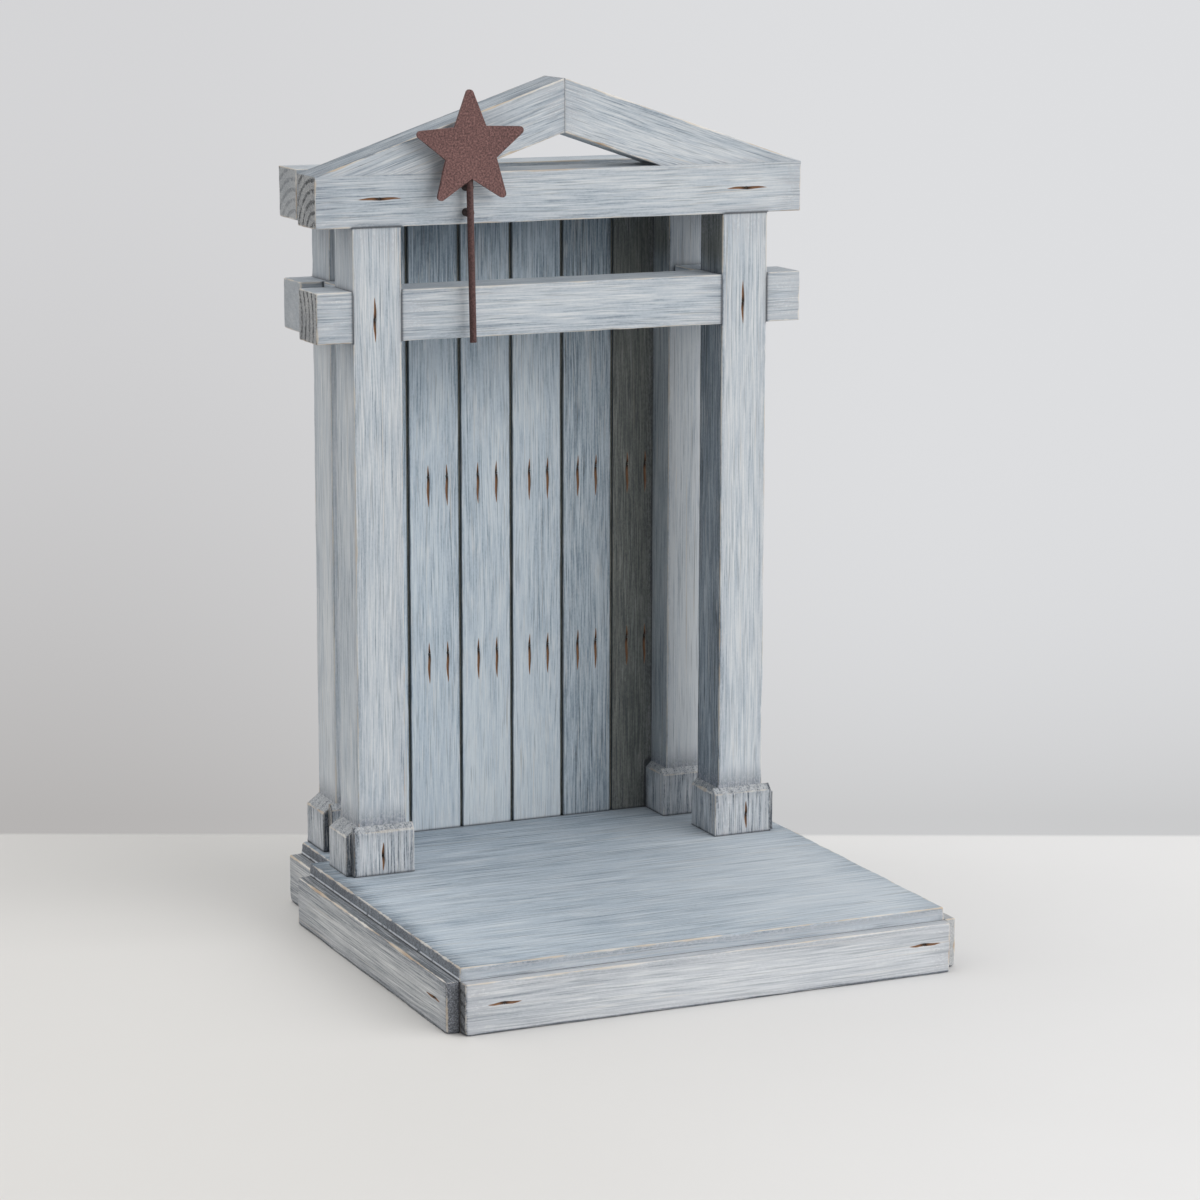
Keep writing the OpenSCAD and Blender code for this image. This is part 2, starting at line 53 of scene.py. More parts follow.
# Camera, from the fit to the photograph: place in millimetres, angles in degrees
CAMERA_PLACE = (-593.18, -1314.62, 418.39)
CAMERA_YAW = -24.238
CAMERA_PITCH = 11.092
CAMERA_ROLL = 0.091
CAMERA_LENS = 112.64
SENSOR = 36

# Timber
X, Y, Z = 0, 1, 2
ROOF_SLOPE = 18.75  # degrees
THIN_FALL = 2.4  # how far the bevelled top of a thin plinth block falls
OUTER_FALL = 4.0
NAIL_SINK = 0.8  # how deep the nails' heads lie
NAIL_R = 0.58
NAIL_DEPTH = 1.5  # how deep the hole over a nail is
LONG_MARK = 16.0
SHORT_MARK = 12.2
MARK_HALF_W = 0.65
MARK_SPREAD = 1.16  # how much longer than its gouge a mark's colour is
BOARD_MARK_DROP = 3.6  # how far the boards' marks hang below their nails
BOARD_GAP = 1.2
TONGUE = 2.0
TONGUE_FRONT, TONGUE_BACK = 1.4, 2.8  # behind the boards' front
DECK_HALF = 85  # the deck's tones change over this half width
DECK_FADE = 40
LEFT_BAND, RIGHT_BAND = 9, 20  # dark bands along the deck's sides
BEAM_LEFT = -60  # the beam is darker left of this
BEAM_SHADE_REACH = 36  # painted shade under the beams reaches this far down the rear posts
TONE_FADE = 8
WEAR_WAVES = (34, 7)
NICK_WAVE = 11
MARK_SWAY = 0.1
LEAST_RADIUS = 0.18  # of a worn arris
SHARP_REACH = 2.5  # arrises grow sharper this near another piece

# Grids: their places from an edge, along a mark by its nail, across a mark and up a riser
EDGE_STEPS = (0, 0.12, 0.28, 0.5, 0.8, 1.2, 1.8, 2.8)
NAIL_STEPS = (-0.8, -0.6, -0.35, 0, 0.35, 0.6, 0.8)
ACROSS_STEPS = (0, 0.15, 0.3, 0.45, 0.6, 0.75, 0.95, 1.3, 1.9)
RISER_STEPS = (-0.3, 0.1, 0.25, 0.4, 0.6, 0.8, 1.1, 1.6)
SIDE_PITCH = 2.6  # across the grain
LEAST_STEP = 0.06

# Distances
JOINT_REACH = 20.0
FOOT_REACH = 40.0
FAR = 1e3
MOST_VALUE = 400  # of what is stored at the points
GRAIN_SHIFT = 400  # each piece's grain starts at a random place
SAME_PLACE = 0.05
ON_FACE = 1e-6

# Star, in metres
STAR_WELD = 0.00002
STAR_BEVEL = 0.00025

# Floor, backdrop and light, in metres
STAGE_SIZE = 60
FLOOR_END = 1.598  # from the camera
END_BLUR = 0.003
FLOOR_NEAR, FLOOR_FAR = 0.45, 1.5  # between these distances from the object the floor grows darker, a painted falloff of light
KEY_PLACE, KEY_AIM = (2.8, -3.1, 2.1), (0.0, 0.0, 0.15)
KEY_SIZE = (5.8, 3.2)
KEY_POWER = 210
BACKDROP_LEFT = ((0.662, 0.662, 0.674, 1), (0.466, 0.454, 0.448, 1))  # high up and low down
BACKDROP_RIGHT = ((0.726, 0.732, 0.748, 1), (0.594, 0.596, 0.602, 1))
BACKDROP_LOW = 0.68  # where on the camera's frame the backdrop is darkest


def box(name):
    """Lowest and highest corner of a CAD node, in millimetres."""
    low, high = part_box(name)
    return np.round(np.array(low) / MM, 3), np.round(np.array(high) / MM, 3)


BOXES = {name: box(name) for name in NODES}


def solid_boxes():
    """(name, low, high) of every box that another piece can meet.

    The deck is narrower behind the shoulder, and the rear posts have a rebate."""
    found = []
    for name, (low, high) in BOXES.items():
        if name.endswith(("nails", "dowels")) or name.startswith("star") or "rafter" in name:
            continue
        if name == "deck":
            shoulder = BOXES["left_skirt"][1][1]
            rear = BOXES["rear_right_skirt"][0][0]
            found.append((name, low, np.array((high[0], shoulder, high[2]))))
            found.append((name, np.array((-rear, shoulder, low[2])), np.array((rear, high[1], high[2]))))
        elif name in ("rear_left_post", "rear_right_post"):
            edge, face = BOXES["back_board_1"][0][:2]
            if name == "rear_left_post":
                found.append((name, low, np.array((edge, high[1], high[2]))))
                found.append((name, np.array((edge, low[1], low[2])), np.array((high[0], face, high[2]))))
            else:
                found.append((name, np.array((-edge, low[1], low[2])), high))
                found.append((name, low, np.array((-edge, face, high[2]))))
        else:
            found.append((name, low, high))
    return found


SOLIDS = solid_boxes()


# Shapes

def unit(value):
    """The value, held between 0 and 1."""
    return np.clip(value, 0, 1)


def ripple(p, size, seed):
    """A smooth random value from about -1 to 1 at each point, with waves about as long as size."""
    rng = np.random.RandomState(seed)
    total = np.zeros(len(p))
    for _ in range(7):
        way = rng.normal(size=3)
        way *= 2 * math.pi / (np.linalg.norm(way) * size * rng.uniform(0.6, 1.6))
        total += np.sin(p @ way + rng.uniform(0, 2 * math.pi))
    return total / 3.2


def islands(name):
    """Lowest and highest corner of each separate solid of a CAD node, in millimetres."""
    mesh = NODES[name].data
    points = np.array([v.co for v in mesh.vertices]) / MM
    _, same = np.unique(np.round(points, 2), axis=0, return_inverse=True)
    same = same.reshape(-1)
    group = np.arange(same.max() + 1)
    faces = [same[list(f.vertices)] for f in mesh.polygons]
    changed = True
    while changed:
        changed = False
        for face in faces:
            least = group[face].min()
            if (group[face] != least).any():
                group[face] = least
                changed = True
    of_point = group[same]
    return [(points[of_point == g].min(0), points[of_point == g].max(0)) for g in np.unique(of_point)]


def nail_list():
    """Nails as (axis, place of the middle, low end, high end, name of their node)."""
    found = []
    for name in ("panel_nails", "frame_nails", "batten_nails", "plinth_nails", "skirt_nails"):
        for low, high in islands(name):
            axis = int(np.argmax(high - low))
            found.append((axis, (low + high) / 2, low[axis], high[axis], name))
    return found


NAILS = nail_list()


def gouges(low, high):
    """Nail marks on a box as (axis, side, place of the nail, length of the mark, its drop)."""
    found = []
    for axis, middle, end_low, end_high, name in NAILS:
        others = [a for a in range(3) if a != axis]
        if any(not low[a] < middle[a] < high[a] for a in others):
            continue
        length = SHORT_MARK if name in ("plinth_nails", "skirt_nails") else LONG_MARK
        if name == "batten_nails":
            length = SHORT_MARK / 2
        drop = BOARD_MARK_DROP if name == "panel_nails" else 0.0
        if abs(end_low - low[axis] - NAIL_SINK) < SAME_PLACE:
            found.append((axis, 0, middle, length, drop))
        elif abs(high[axis] - end_high - NAIL_SINK) < SAME_PLACE:
            found.append((axis, 1, middle, length, drop))
    return found


def places(low, high, pitch, extra):
    """Grid places from low to high, close together by both ends and at the extra places."""
    near = np.array(EDGE_STEPS)
    near = near[near < (high - low) / 2]
    count = max(2, int(round((high - low) / pitch)) + 1)
    inner = np.linspace(low, high, count)
    inner = inner[(inner > low + near[-1] + pitch / 3) & (inner < high - near[-1] - pitch / 3)]
    every = np.concatenate([low + near, high - near, inner, [e for e in extra if low < e < high]])
    every = np.unique(np.round(every, 3))
    keep = [every[0]]
    for value in every[1:]:
        if value - keep[-1] > LEAST_STEP:
            keep.append(value)
    keep[-1] = high
    return np.array(keep)


def box_grid(grid):
    """Points and quads of a box's surface, from the grid's places along each axis."""
    points, quads, first = [], [], 0
    for axis in range(3):
        a, b = (axis + 1) % 3, (axis + 2) % 3
        for end in (0, -1):
            ga, gb = np.meshgrid(grid[a], grid[b], indexing="ij")
            p = np.empty(ga.shape + (3,))
            p[..., axis] = grid[axis][end]
            p[..., a] = ga
            p[..., b] = gb
            points.append(p.reshape(-1, 3))
            na, nb = ga.shape
            i, j = np.meshgrid(np.arange(na - 1), np.arange(nb - 1), indexing="ij")
            corner = (first + i * nb + j).reshape(-1)
            quad = np.stack([corner, corner + nb, corner + nb + 1, corner + 1], 1)
            quads.append(quad if end else quad[:, ::-1])
            first += na * nb
    points = np.concatenate(points)
    quads = np.concatenate(quads)
    _, index, back = np.unique(np.round(points * 1000).astype(np.int64), axis=0,
                               return_index=True, return_inverse=True)
    return points[index], back.reshape(-1)[quads]


def bar(low, high, grain, seed, wear=0.55, joined=(), pitch=3.0, marks=(), nicks=1.6, close=None,
        heart=None, also=()):
    """A worn bar. joined holds the (axis, side) faces that run on into another bar, so stay sharp.

    wear is the arrises' radius, or a function that gives one for each point. close gives each point's
    distance from other pieces: arrises that meet another piece stay sharp too. heart is where the tree's
    heart lies across the bar, as two shares of its width, and also holds further heights for the grid.
    Returns points, quads and a dictionary of values at the points."""
    low, high = np.array(low, float), np.array(high, float)
    extra = [[], [], list(also)]
    for axis, side, middle, length, drop in marks:
        for a in range(3):
            if a == axis:
                continue
            if a == grain:
                half = MARK_SPREAD / 2
                extra[a].extend(middle[a] - drop + np.linspace(-half, half, 25) * length)
                extra[a].extend(middle[a] + np.array(NAIL_STEPS))
            else:
                extra[a].extend(middle[a] + np.array(ACROSS_STEPS))
                extra[a].extend(middle[a] - np.array(ACROSS_STEPS))
    grid = [places(low[a], high[a], pitch if a == grain else SIDE_PITCH, extra[a]) for a in range(3)]
    flat, quads = box_grid(grid)
    # distances to the faces, the arrises and the ends
    reach = np.empty((len(flat), 6))
    for a in range(3):
        for side in (0, 1):
            gap = flat[:, a] - low[a] if side == 0 else high[a] - flat[:, a]
            reach[:, 2 * a + side] = FAR if (a, side) in joined else gap
    per_axis = np.stack([reach[:, 2 * a:2 * a + 2].min(1) for a in range(3)], 1)
    arris = np.sort(per_axis, 1)[:, 1]
    end = per_axis[:, grain]
    # wear of the arrises
    long_wave, short_wave = WEAR_WAVES
    soft = 1 + 0.45 * ripple(flat, long_wave, seed) + 0.3 * ripple(flat, short_wave, seed + 1)
    nick = unit(ripple(flat, NICK_WAVE, seed + 2) - 1.15) * nicks
    least = (high - low).min()
    if callable(wear):
        wear = wear(flat)
    radius = np.clip(wear * soft + nick, LEAST_RADIUS, least * 0.3)
    if close is not None:
        radius = radius * np.clip(close(flat) / SHARP_REACH, 0.2, 1)
    inner_low, inner_high = low + radius[:, None], high - radius[:, None]
    for a, side in joined:
        if side == 0:
            inner_low[:, a] = low[a] - FAR
        else:
            inner_high[:, a] = high[a] + FAR
    core = np.clip(flat, inner_low, inner_high)
    out = flat - core
    size = np.linalg.norm(out, axis=1)
    moved = size > 1e-9
    worn = flat.copy()
    worn[moved] = core[moved] + out[moved] * (radius[moved] / size[moved])[:, None]
    # gouges round the nails
    mark, stain, hole = np.zeros(len(flat)), np.zeros(len(flat)), np.zeros(len(flat))
    for axis, side, middle, length, drop in marks:
        cross = [a for a in range(3) if a not in (axis, grain)][0]
        face = np.abs(flat[:, axis] - (low[axis], high[axis])[side]) < ON_FACE
        along = (flat[:, grain] - middle[grain] + drop) / (length / 2)
        wide = MARK_HALF_W * unit(1 - along ** 2)
        across = np.abs(flat[:, cross] - middle[cross] - MARK_SWAY * np.sin(along * 5 + seed))
        depth = np.sqrt(np.clip(wide ** 2 - across ** 2, 0, None))
        away = np.hypot(flat[:, grain] - middle[grain], flat[:, cross] - middle[cross])
        depth = np.where(away < NAIL_R, NAIL_DEPTH, depth) * face
        worn[:, axis] += depth * (1 if side == 0 else -1)
        within = (np.abs(along) < MARK_SPREAD) * face
        seen = MARK_HALF_W * unit(1 - (along / MARK_SPREAD) ** 2) ** 0.7
        mark = np.maximum(mark, unit((seen + 0.08 - across) / 0.34) * within)
        stain = np.maximum(stain, unit(1 - away / (length * 0.42)) * face)
        hole = np.maximum(hole, unit((NAIL_R + 0.15 - away) / 0.35) * face)
    # distance from the heart of the tree, for the rings on the ends
    rng = np.random.RandomState(seed + 7)
    a, b = (grain + 1) % 3, (grain + 2) % 3
    size_a, size_b = high[a] - low[a], high[b] - low[b]
    share = heart or [0.5 + rng.choice([-1, 1]) * rng.uniform(0.7, 1.3) for _ in range(2)]
    ring = np.hypot(flat[:, a] - low[a] - share[0] * size_a, flat[:, b] - low[b] - share[1] * size_b)
    cut = np.zeros(len(flat))
    for value in (low[grain], high[grain]):
        cut = np.maximum(cut, np.abs(flat[:, grain] - value) < ON_FACE)
    values = {"arris": arris, "end": end, "mark": mark, "stain": stain, "hole": hole, "cut": cut,
              "ring": ring, "raw": np.zeros(len(flat)), "grain": flat[:, [grain, a, b]]}
    return worn, quads, values


def merged(bars):
    """Several bars as one."""
    points, quads, first = [], [], 0
    for p, q, _ in bars:
        points.append(p)
        quads.append(q + first)
        first += len(p)
    keys = bars[0][2]
    values = {k: np.concatenate([b[2][k] for b in bars]) for k in keys}
    return np.concatenate(points), np.concatenate(quads), values


def box_distance(points, low, high):
    """Distance of each point from a box, 0 inside it."""
    return np.linalg.norm(np.maximum(np.maximum(low - points, points - high), 0), axis=1)


def joint_distance(points, name, own=()):
    """Distance of each point from the nearest piece that is neither name nor in own, up to JOINT_REACH."""
    least = np.full(len(points), JOINT_REACH)
    for other, low, high in SOLIDS:
        if other != name and other not in own:
            least = np.minimum(least, box_distance(points, low, high))
    return least


def near_others(name, own=()):
    """A function that gives joint_distance for points."""
    return lambda points: joint_distance(points, name, own)


def foot_distance(points):
    """Distance of each point from the nearest plinth block, up to FOOT_REACH."""
    least = np.full(len(points), FOOT_REACH)
    for other, low, high in SOLIDS:
        if "plinth" in other:
            least = np.minimum(least, box_distance(points, low, high))
    return least


def gable():
    """The gable as (half width at the beam, height of the feet, rise, drop, inner half width).

    The drop is a rafter's height measured straight down."""
    low, high = BOXES["front_beam"]
    slope = math.radians(ROOF_SLOPE)
    stock = high[2] - low[2]
    rise = high[0] * math.tan(slope)
    return high[0], high[2], rise, stock / math.cos(slope), high[0] - stock / math.sin(slope)


def beam_tone(points):
    """The front beam's tone: darker at the left, and unworn where it meets a rafter's foot."""
    lift = 0.1 - 0.12 * unit((BEAM_LEFT - points[:, 0]) / DECK_FADE)
    return np.stack([lift, 0.9 * unit(foot_close(points) / 2 - 0.2), 0.2 + 0 * lift], 1)


def foot_close(points):
    """Distance of the front beam's points from the rafters' feet."""
    _, foot, _, _, inner_half = gable()
    return np.hypot(foot - points[:, 2], np.clip(inner_half - np.abs(points[:, 0]), 0, None))


def beam_close(points):
    """Distance of the front beam's points from the rafters' feet and from the other pieces."""
    return np.minimum(foot_close(points), joint_distance(points, "front_beam"))


def build(name, shape, material, seed, tone=(0.0, 1.0, 0.3), joint=None):
    """Makes the piece that stands for a CAD node, and holds it inside the node's box.

    tone is (lift, wear, grime by the arrises), or a function that gives one for each point."""
    points, quads, values = shape
    points = np.clip(points, *BOXES[name])
    near = joint_distance(points, name) if joint is None else joint
    mesh = bpy.data.meshes.new(name + "_worn")
    mesh.from_pydata((points * MM).tolist(), [], quads.tolist())
    rng = np.random.RandomState(seed)
    shift = rng.uniform(-GRAIN_SHIFT, GRAIN_SHIFT, 3)
    values["foot"] = foot_distance(points) if name.endswith("post") else np.full(len(points), FOOT_REACH)
    for key in ("arris", "end", "mark", "stain", "hole", "cut", "ring", "raw", "foot"):
        layer = mesh.attributes.new(key, "FLOAT", "POINT")
        layer.data.foreach_set("value", np.minimum(values[key], MOST_VALUE).astype(np.float32))
    layer = mesh.attributes.new("joint", "FLOAT", "POINT")
    layer.data.foreach_set("value", near.astype(np.float32))
    layer = mesh.attributes.new("grain", "FLOAT_VECTOR", "POINT")
    layer.data.foreach_set("vector", (values["grain"] + shift).astype(np.float32).reshape(-1))
    layer = mesh.attributes.new("tone", "FLOAT_VECTOR", "POINT")
    tones = tone(points) if callable(tone) else np.tile(np.array(tone), (len(points), 1))
    layer.data.foreach_set("vector", tones.astype(np.float32).reshape(-1))
    mesh.polygons.foreach_set("use_smooth", [True] * len(mesh.polygons))
    mesh.materials.append(material)
    mesh.validate()
    mesh.update()
    piece = bpy.data.objects.new(name + "_worn", mesh)
    bpy.context.scene.collection.objects.link(piece)
    weighted = piece.modifiers.new("weighted", "WEIGHTED_NORMAL")
    weighted.keep_sharp = False
    weighted.weight = 50
    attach(piece, "stable")
    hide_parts(name)


# Materials

class Nodes:
    """A node tree, built line by line."""

    def __init__(self, tree):
        self.tree = tree

    def put(self, socket, value):
        if isinstance(value, bpy.types.NodeSocket):
            self.tree.links.new(value, socket)
        else:
            socket.default_value = value

    def node(self, kind, inputs=None, **settings):
        made = self.tree.nodes.new(kind)
        for key, value in settings.items():
            setattr(made, key, value)
        for key, value in (inputs or {}).items():
            self.put(made.inputs[key], value)
        return made

    def math(self, operation, a, b=0.0, c=0.0):
        made = self.node("ShaderNodeMath", operation=operation)
        for socket, value in zip(made.inputs, (a, b, c)):
            self.put(socket, value)
        return made.outputs[0]

    def plus(self, a, b):
        return self.math("ADD", a, b)

    def minus(self, a, b):
        return self.math("SUBTRACT", a, b)

    def times(self, a, b):
        return self.math("MULTIPLY", a, b)

    def most(self, a, b):
        return self.math("MAXIMUM", a, b)

    def value(self, name):
        return self.node("ShaderNodeAttribute", attribute_name=name).outputs["Fac"]

    def vector(self, name):
        return self.node("ShaderNodeAttribute", attribute_name=name).outputs["Vector"]

    def vector_math(self, operation, *inputs):
        made = self.node("ShaderNodeVectorMath", operation=operation)
        for socket, value in zip(made.inputs, inputs):
            self.put(socket, value)
        return made.outputs["Value" if operation in ("DOT_PRODUCT", "LENGTH") else "Vector"]

    def noise(self, vector, factors=None, scale=1.0, detail=2.0, rough=0.5, output="Fac"):
        if factors is not None:
            vector = self.vector_math("MULTIPLY", vector, factors)
        made = self.node("ShaderNodeTexNoise", {"Vector": vector, "Scale": scale, "Detail": detail,
                                                "Roughness": rough})
        return made.outputs[output]

    def range(self, value, low, high, to_low=0.0, to_high=1.0):
        made = self.node("ShaderNodeMapRange", {"Value": value, "From Min": low, "From Max": high,
                                                "To Min": to_low, "To Max": to_high},
                         interpolation_type="SMOOTHSTEP")
        return made.outputs["Result"]

    def mix(self, factor, a, b):
        """Mixes two colours: sockets 6 and 7, and output 2, are the node's colour ones."""
        made = self.node("ShaderNodeMix", data_type="RGBA")
        self.put(made.inputs["Factor"], factor)
        self.put(made.inputs[6], a)
        self.put(made.inputs[7], b)
        return made.outputs[2]

    def ramp(self, value, stops):
        """A colour ramp. Each of stops is (place, colour)."""
        made = self.node("ShaderNodeValToRGB")
        parts = made.color_ramp.elements
        while len(parts) < len(stops):
            parts.new(0.5)
        for part, (place, colour) in zip(parts, stops):
            part.position = place
            part.color = (*colour, 1.0)
        self.put(made.inputs[0], value)
        return made.outputs["Color"]

    def mix_shaders(self, factor, a, b):
        made = self.node("ShaderNodeMixShader")
        for socket, value in zip(made.inputs, (factor, a.outputs[0], b.outputs[0])):
            self.put(socket, value)
        return made


class Shader(Nodes):
    """A material's node tree."""

    def __init__(self, name):
        self.material = bpy.data.materials.new(name)
        self.material.use_nodes = True
        super().__init__(self.material.node_tree)
        self.tree.nodes.clear()
        self.out = self.node("ShaderNodeOutputMaterial")

    def show(self, surface):
        self.put(self.out.inputs["Surface"], surface.outputs[0])
        return self.material

    def finish(self, colour, roughness, height, strength=0.5, distance=0.0002, specular=0.35,
               metallic=0.0):
        bump = self.node("ShaderNodeBump", {"Height": height, "Strength": strength, "Distance": distance})
        return self.show(self.node("ShaderNodeBsdfPrincipled", {
            "Base Color": colour, "Roughness": roughness, "Specular IOR Level": specular,
            "Metallic": metallic, "Normal": bump.outputs[0]}))


# Colours of the timber's finish, with painted contact shade and highlights, linear
STREAK = (0.72, 0.735, 0.74, 1)
TAN = (0.5, 0.43, 0.34, 1)
OPEN_GRAIN = (0.12, 0.15, 0.18, 1)
OLIVE = ((0.35, (0.08, 0.083, 0.07)), (0.65, (0.22, 0.22, 0.185)))
GRIME = ((0.06, 0.07, 0.088, 1), (0.32, 0.335, 0.385, 1))
SAWN = ((0.1, (0.05, 0.055, 0.065)), (0.34, (0.2, 0.21, 0.22)), (0.5, (0.34, 0.35, 0.36)),
        (0.66, (0.5, 0.5, 0.49)))
PORE = (0.045, 0.05, 0.058, 1)
RING = (0.02, 0.021, 0.022, 1)
DARK_JOINT_AND_SHADE = (0.03, 0.034, 0.04, 1)
BEAD = (0.7, 0.74, 0.8, 1)
WORN_EDGE_AND_HIGHLIGHT = ((0.42, (0.68, 0.66, 0.62)), (0.56, (0.58, 0.51, 0.42)), (0.75, (0.42, 0.3, 0.2)))
MARK_TIP, MARK_MIDDLE, MARK_NAIL = (0.44, 0.32, 0.22, 1), (0.2, 0.1, 0.05, 1), (0.035, 0.015, 0.008, 1)
HOLE = (0.006, 0.004, 0.003, 1)


def wood(name, dark, middle, light, wash=0.5, grime=0.5, ends=0.4, sawn_share=0.9, contrast=1.0, bead=0.0,
         streak=1.0, bands=1.0):
    """Timber with a blue-grey wash, white brush streaks along the grain and worn arrises, whose thin pale
    lines are partly painted highlights.

    wash is how white the streaks are, grime how dark the grime is, ends how dark the pores of the end
    grain are, sawn_share how much the end grain shows and contrast how strong the grain is. bead is how
    much pale wash has gathered at the foot of the risers, streak how long the streaks are and bands how
    strong the broad bands are."""
    s = Shader(name)
    straight_grain = s.vector("grain")
    tone = s.node("ShaderNodeSeparateXYZ")
    s.put(tone.inputs[0], s.vector("tone"))
    lift, wear, edge_grime = tone.outputs
    arris, end, joint = s.value("arris"), s.value("end"), s.value("joint")
    mark, stain, hole = s.value("mark"), s.value("stain"), s.value("hole")
    cut, ring, raw, foot = s.value("cut"), s.value("ring"), s.value("raw"), s.value("foot")
    # the grain wanders a little from side to side
    sway = s.noise(straight_grain, (0.006, 0.012, 0.012), rough=0.4, output="Color")
    g = s.vector_math("MULTIPLY_ADD", sway, (0.0, 5.0, 5.0), straight_grain)
    fine = s.noise(g, (0.05 / streak, 1.7, 1.7), detail=2, rough=0.6)
    middling = s.noise(g, (0.01, 0.6, 0.6), detail=1, rough=0.5)
    broad = s.noise(g, (0.006, 0.1, 0.1), detail=2)
    cloud = s.noise(g, (0.02, 0.035, 0.035), detail=2)
    speck = s.noise(g, (0.7, 1.4, 1.4), detail=4, rough=0.7)
    blot = s.noise(g, (0.05, 0.15, 0.15), detail=3, rough=0.6)

    def part(value, amount):
        return s.times(s.minus(value, 0.5), amount)

    # body colour
    level = s.plus(s.plus(part(fine, 1.9 * contrast), 0.5), part(middling, 0.45 * contrast))
    level = s.plus(level, s.plus(part(broad, 0.55 * bands), part(cloud, 0.3)))
    level = s.plus(level, part(speck, 0.6 * contrast))
    level = s.plus(level, s.plus(lift, 0.05))
    darker = tuple(0.5 * value for value in dark)
    body = s.ramp(level, ((0.0, darker), (0.2, dark), (0.5, middle), (0.9, light)))
    # white brush streaks on top, a few tan ones, and dark lines where the grain is open
    white = s.noise(g, (0.07 / streak, 2.0, 2.0), detail=1, rough=0.6)
    white = s.times(s.range(white, 0.52, 0.64), s.range(blot, 0.34, 0.6))
    body = s.mix(s.times(white, wash), body, STREAK)
    tan = s.noise(g, (0.014, 0.85, 0.85), detail=2)
    body = s.mix(s.range(tan, 0.64, 0.78, 0.0, 0.4), body, TAN)
    open_grain = s.noise(g, (0.05 / streak, 1.8, 1.8), detail=1, rough=0.6)
    open_grain = s.range(open_grain, 0.42, 0.3)
    body = s.mix(s.times(open_grain, 0.5 * contrast), body, OPEN_GRAIN)
    # unwashed wood, olive with age
    body = s.mix(raw, body, s.ramp(s.plus(fine, part(speck, 0.6)), OLIVE))
    # grime where pieces meet, by the ends and along the arrises, and painted shade above the posts' plinths
    rough_edge = part(speck, 9.0)
    smear = s.range(s.minus(joint, rough_edge), 4.5, -1.5)
    brushed = s.times(s.range(s.minus(end, s.times(blot, 24.0)), 4.0, -8.0), s.range(speck, 0.42, 0.6))
    edging = s.range(s.minus(arris, s.plus(rough_edge, 2.0)), 4.0, -2.0)
    edging = s.times(edging, edge_grime)
    dirt = s.most(s.times(smear, 0.7), s.times(brushed, 0.55))
    dirt = s.most(dirt, s.times(edging, 0.75))
    low_down = s.range(s.minus(foot, s.times(rough_edge, 1.4)), 11.0, -2.0)
    dirt = s.most(dirt, low_down)
    body = s.mix(s.times(dirt, grime), body, s.mix(s.range(speck, 0.42, 0.6), *GRIME))
    # end grain: pores, and dark broken growth rings
    pores = s.noise(straight_grain, (1.0, 1.0, 1.0), scale=1.9, detail=3, rough=0.7)
    breaks = s.noise(straight_grain, (1.0, 1.0, 1.0), scale=0.5, detail=3, rough=0.75)
    uneven = s.plus(part(breaks, 4.5), part(pores, 2.5))
    wave = s.math("SINE", s.plus(s.times(ring, 1.5), uneven))
    broken = s.range(s.plus(breaks, part(pores, 1.2)), 0.44, 0.5)
    rings = s.times(s.range(wave, 0.35, 0.55), broken)
    sawn = s.ramp(s.plus(s.plus(pores, part(cloud, 0.5)), s.times(lift, 0.6)), SAWN)
    sawn = s.mix(s.times(s.range(pores, 0.62, 0.5), ends), sawn, PORE)
    sawn = s.mix(s.times(rings, cut), sawn, RING)
    body = s.mix(s.times(cut, sawn_share), body, sawn)
    # the dark line at a joint, partly a dark joint and partly painted contact shade, with pale wash in the
    # corner
    body = s.mix(s.range(joint, 1.1, 0.1, 0.0, 0.75), body, DARK_JOINT_AND_SHADE)
    if bead:
        at_bead = s.times(s.range(joint, 0.1, 0.3), s.range(joint, 1.15, 0.85))
        at_bead = s.times(at_bead, s.range(edge_grime, 0.6, 0.9))
        body = s.mix(s.times(at_bead, s.range(blot, 0.3, 0.45, 0.0, bead)), body, BEAD)
    # worn arrises: a thin pale line, partly worn paint and partly a painted highlight, tan where it is bare
    chip = s.noise(straight_grain, (0.05, 0.14, 0.14), detail=4, rough=0.65)
    chip = s.plus(chip, s.times(wear, 0.12))
    bare = s.range(s.minus(s.times(s.minus(chip, 0.47), 3.0), arris), -0.15, 0.3)
    bare = s.times(s.times(bare, wear), s.range(joint, 0.4, 2.0))
    warm = s.noise(straight_grain, (0.03, 0.1, 0.1), detail=3)
    body = s.mix(s.times(bare, 0.8), body, s.ramp(warm, WORN_EDGE_AND_HIGHLIGHT))
    # nail marks: tan at the tips, brown towards the nail, black at the hole
    gouge = s.plus(mark, part(speck, 0.5))
    inner = s.mix(s.range(stain, 0.5, 0.95), MARK_MIDDLE, MARK_NAIL)
    halo = s.times(s.range(gouge, 0.1, 0.45), 0.7)
    body = s.mix(s.times(halo, mark), body, MARK_TIP)
    body = s.mix(s.range(gouge, 0.42, 0.7), body, inner)
    body = s.mix(s.range(hole, 0.2, 0.7), body, HOLE)
    # relief and gloss
    height = s.plus(s.times(fine, 0.9), s.times(middling, 0.3))
    height = s.minus(height, s.times(open_grain, 0.3))
    height = s.minus(height, s.times(s.times(rings, cut), 1.2))
    gloss = s.range(s.plus(middling, speck), 0.7, 1.3, 0.5, 0.72)
    return s.finish(body, gloss, height, strength=0.5, distance=0.00022)


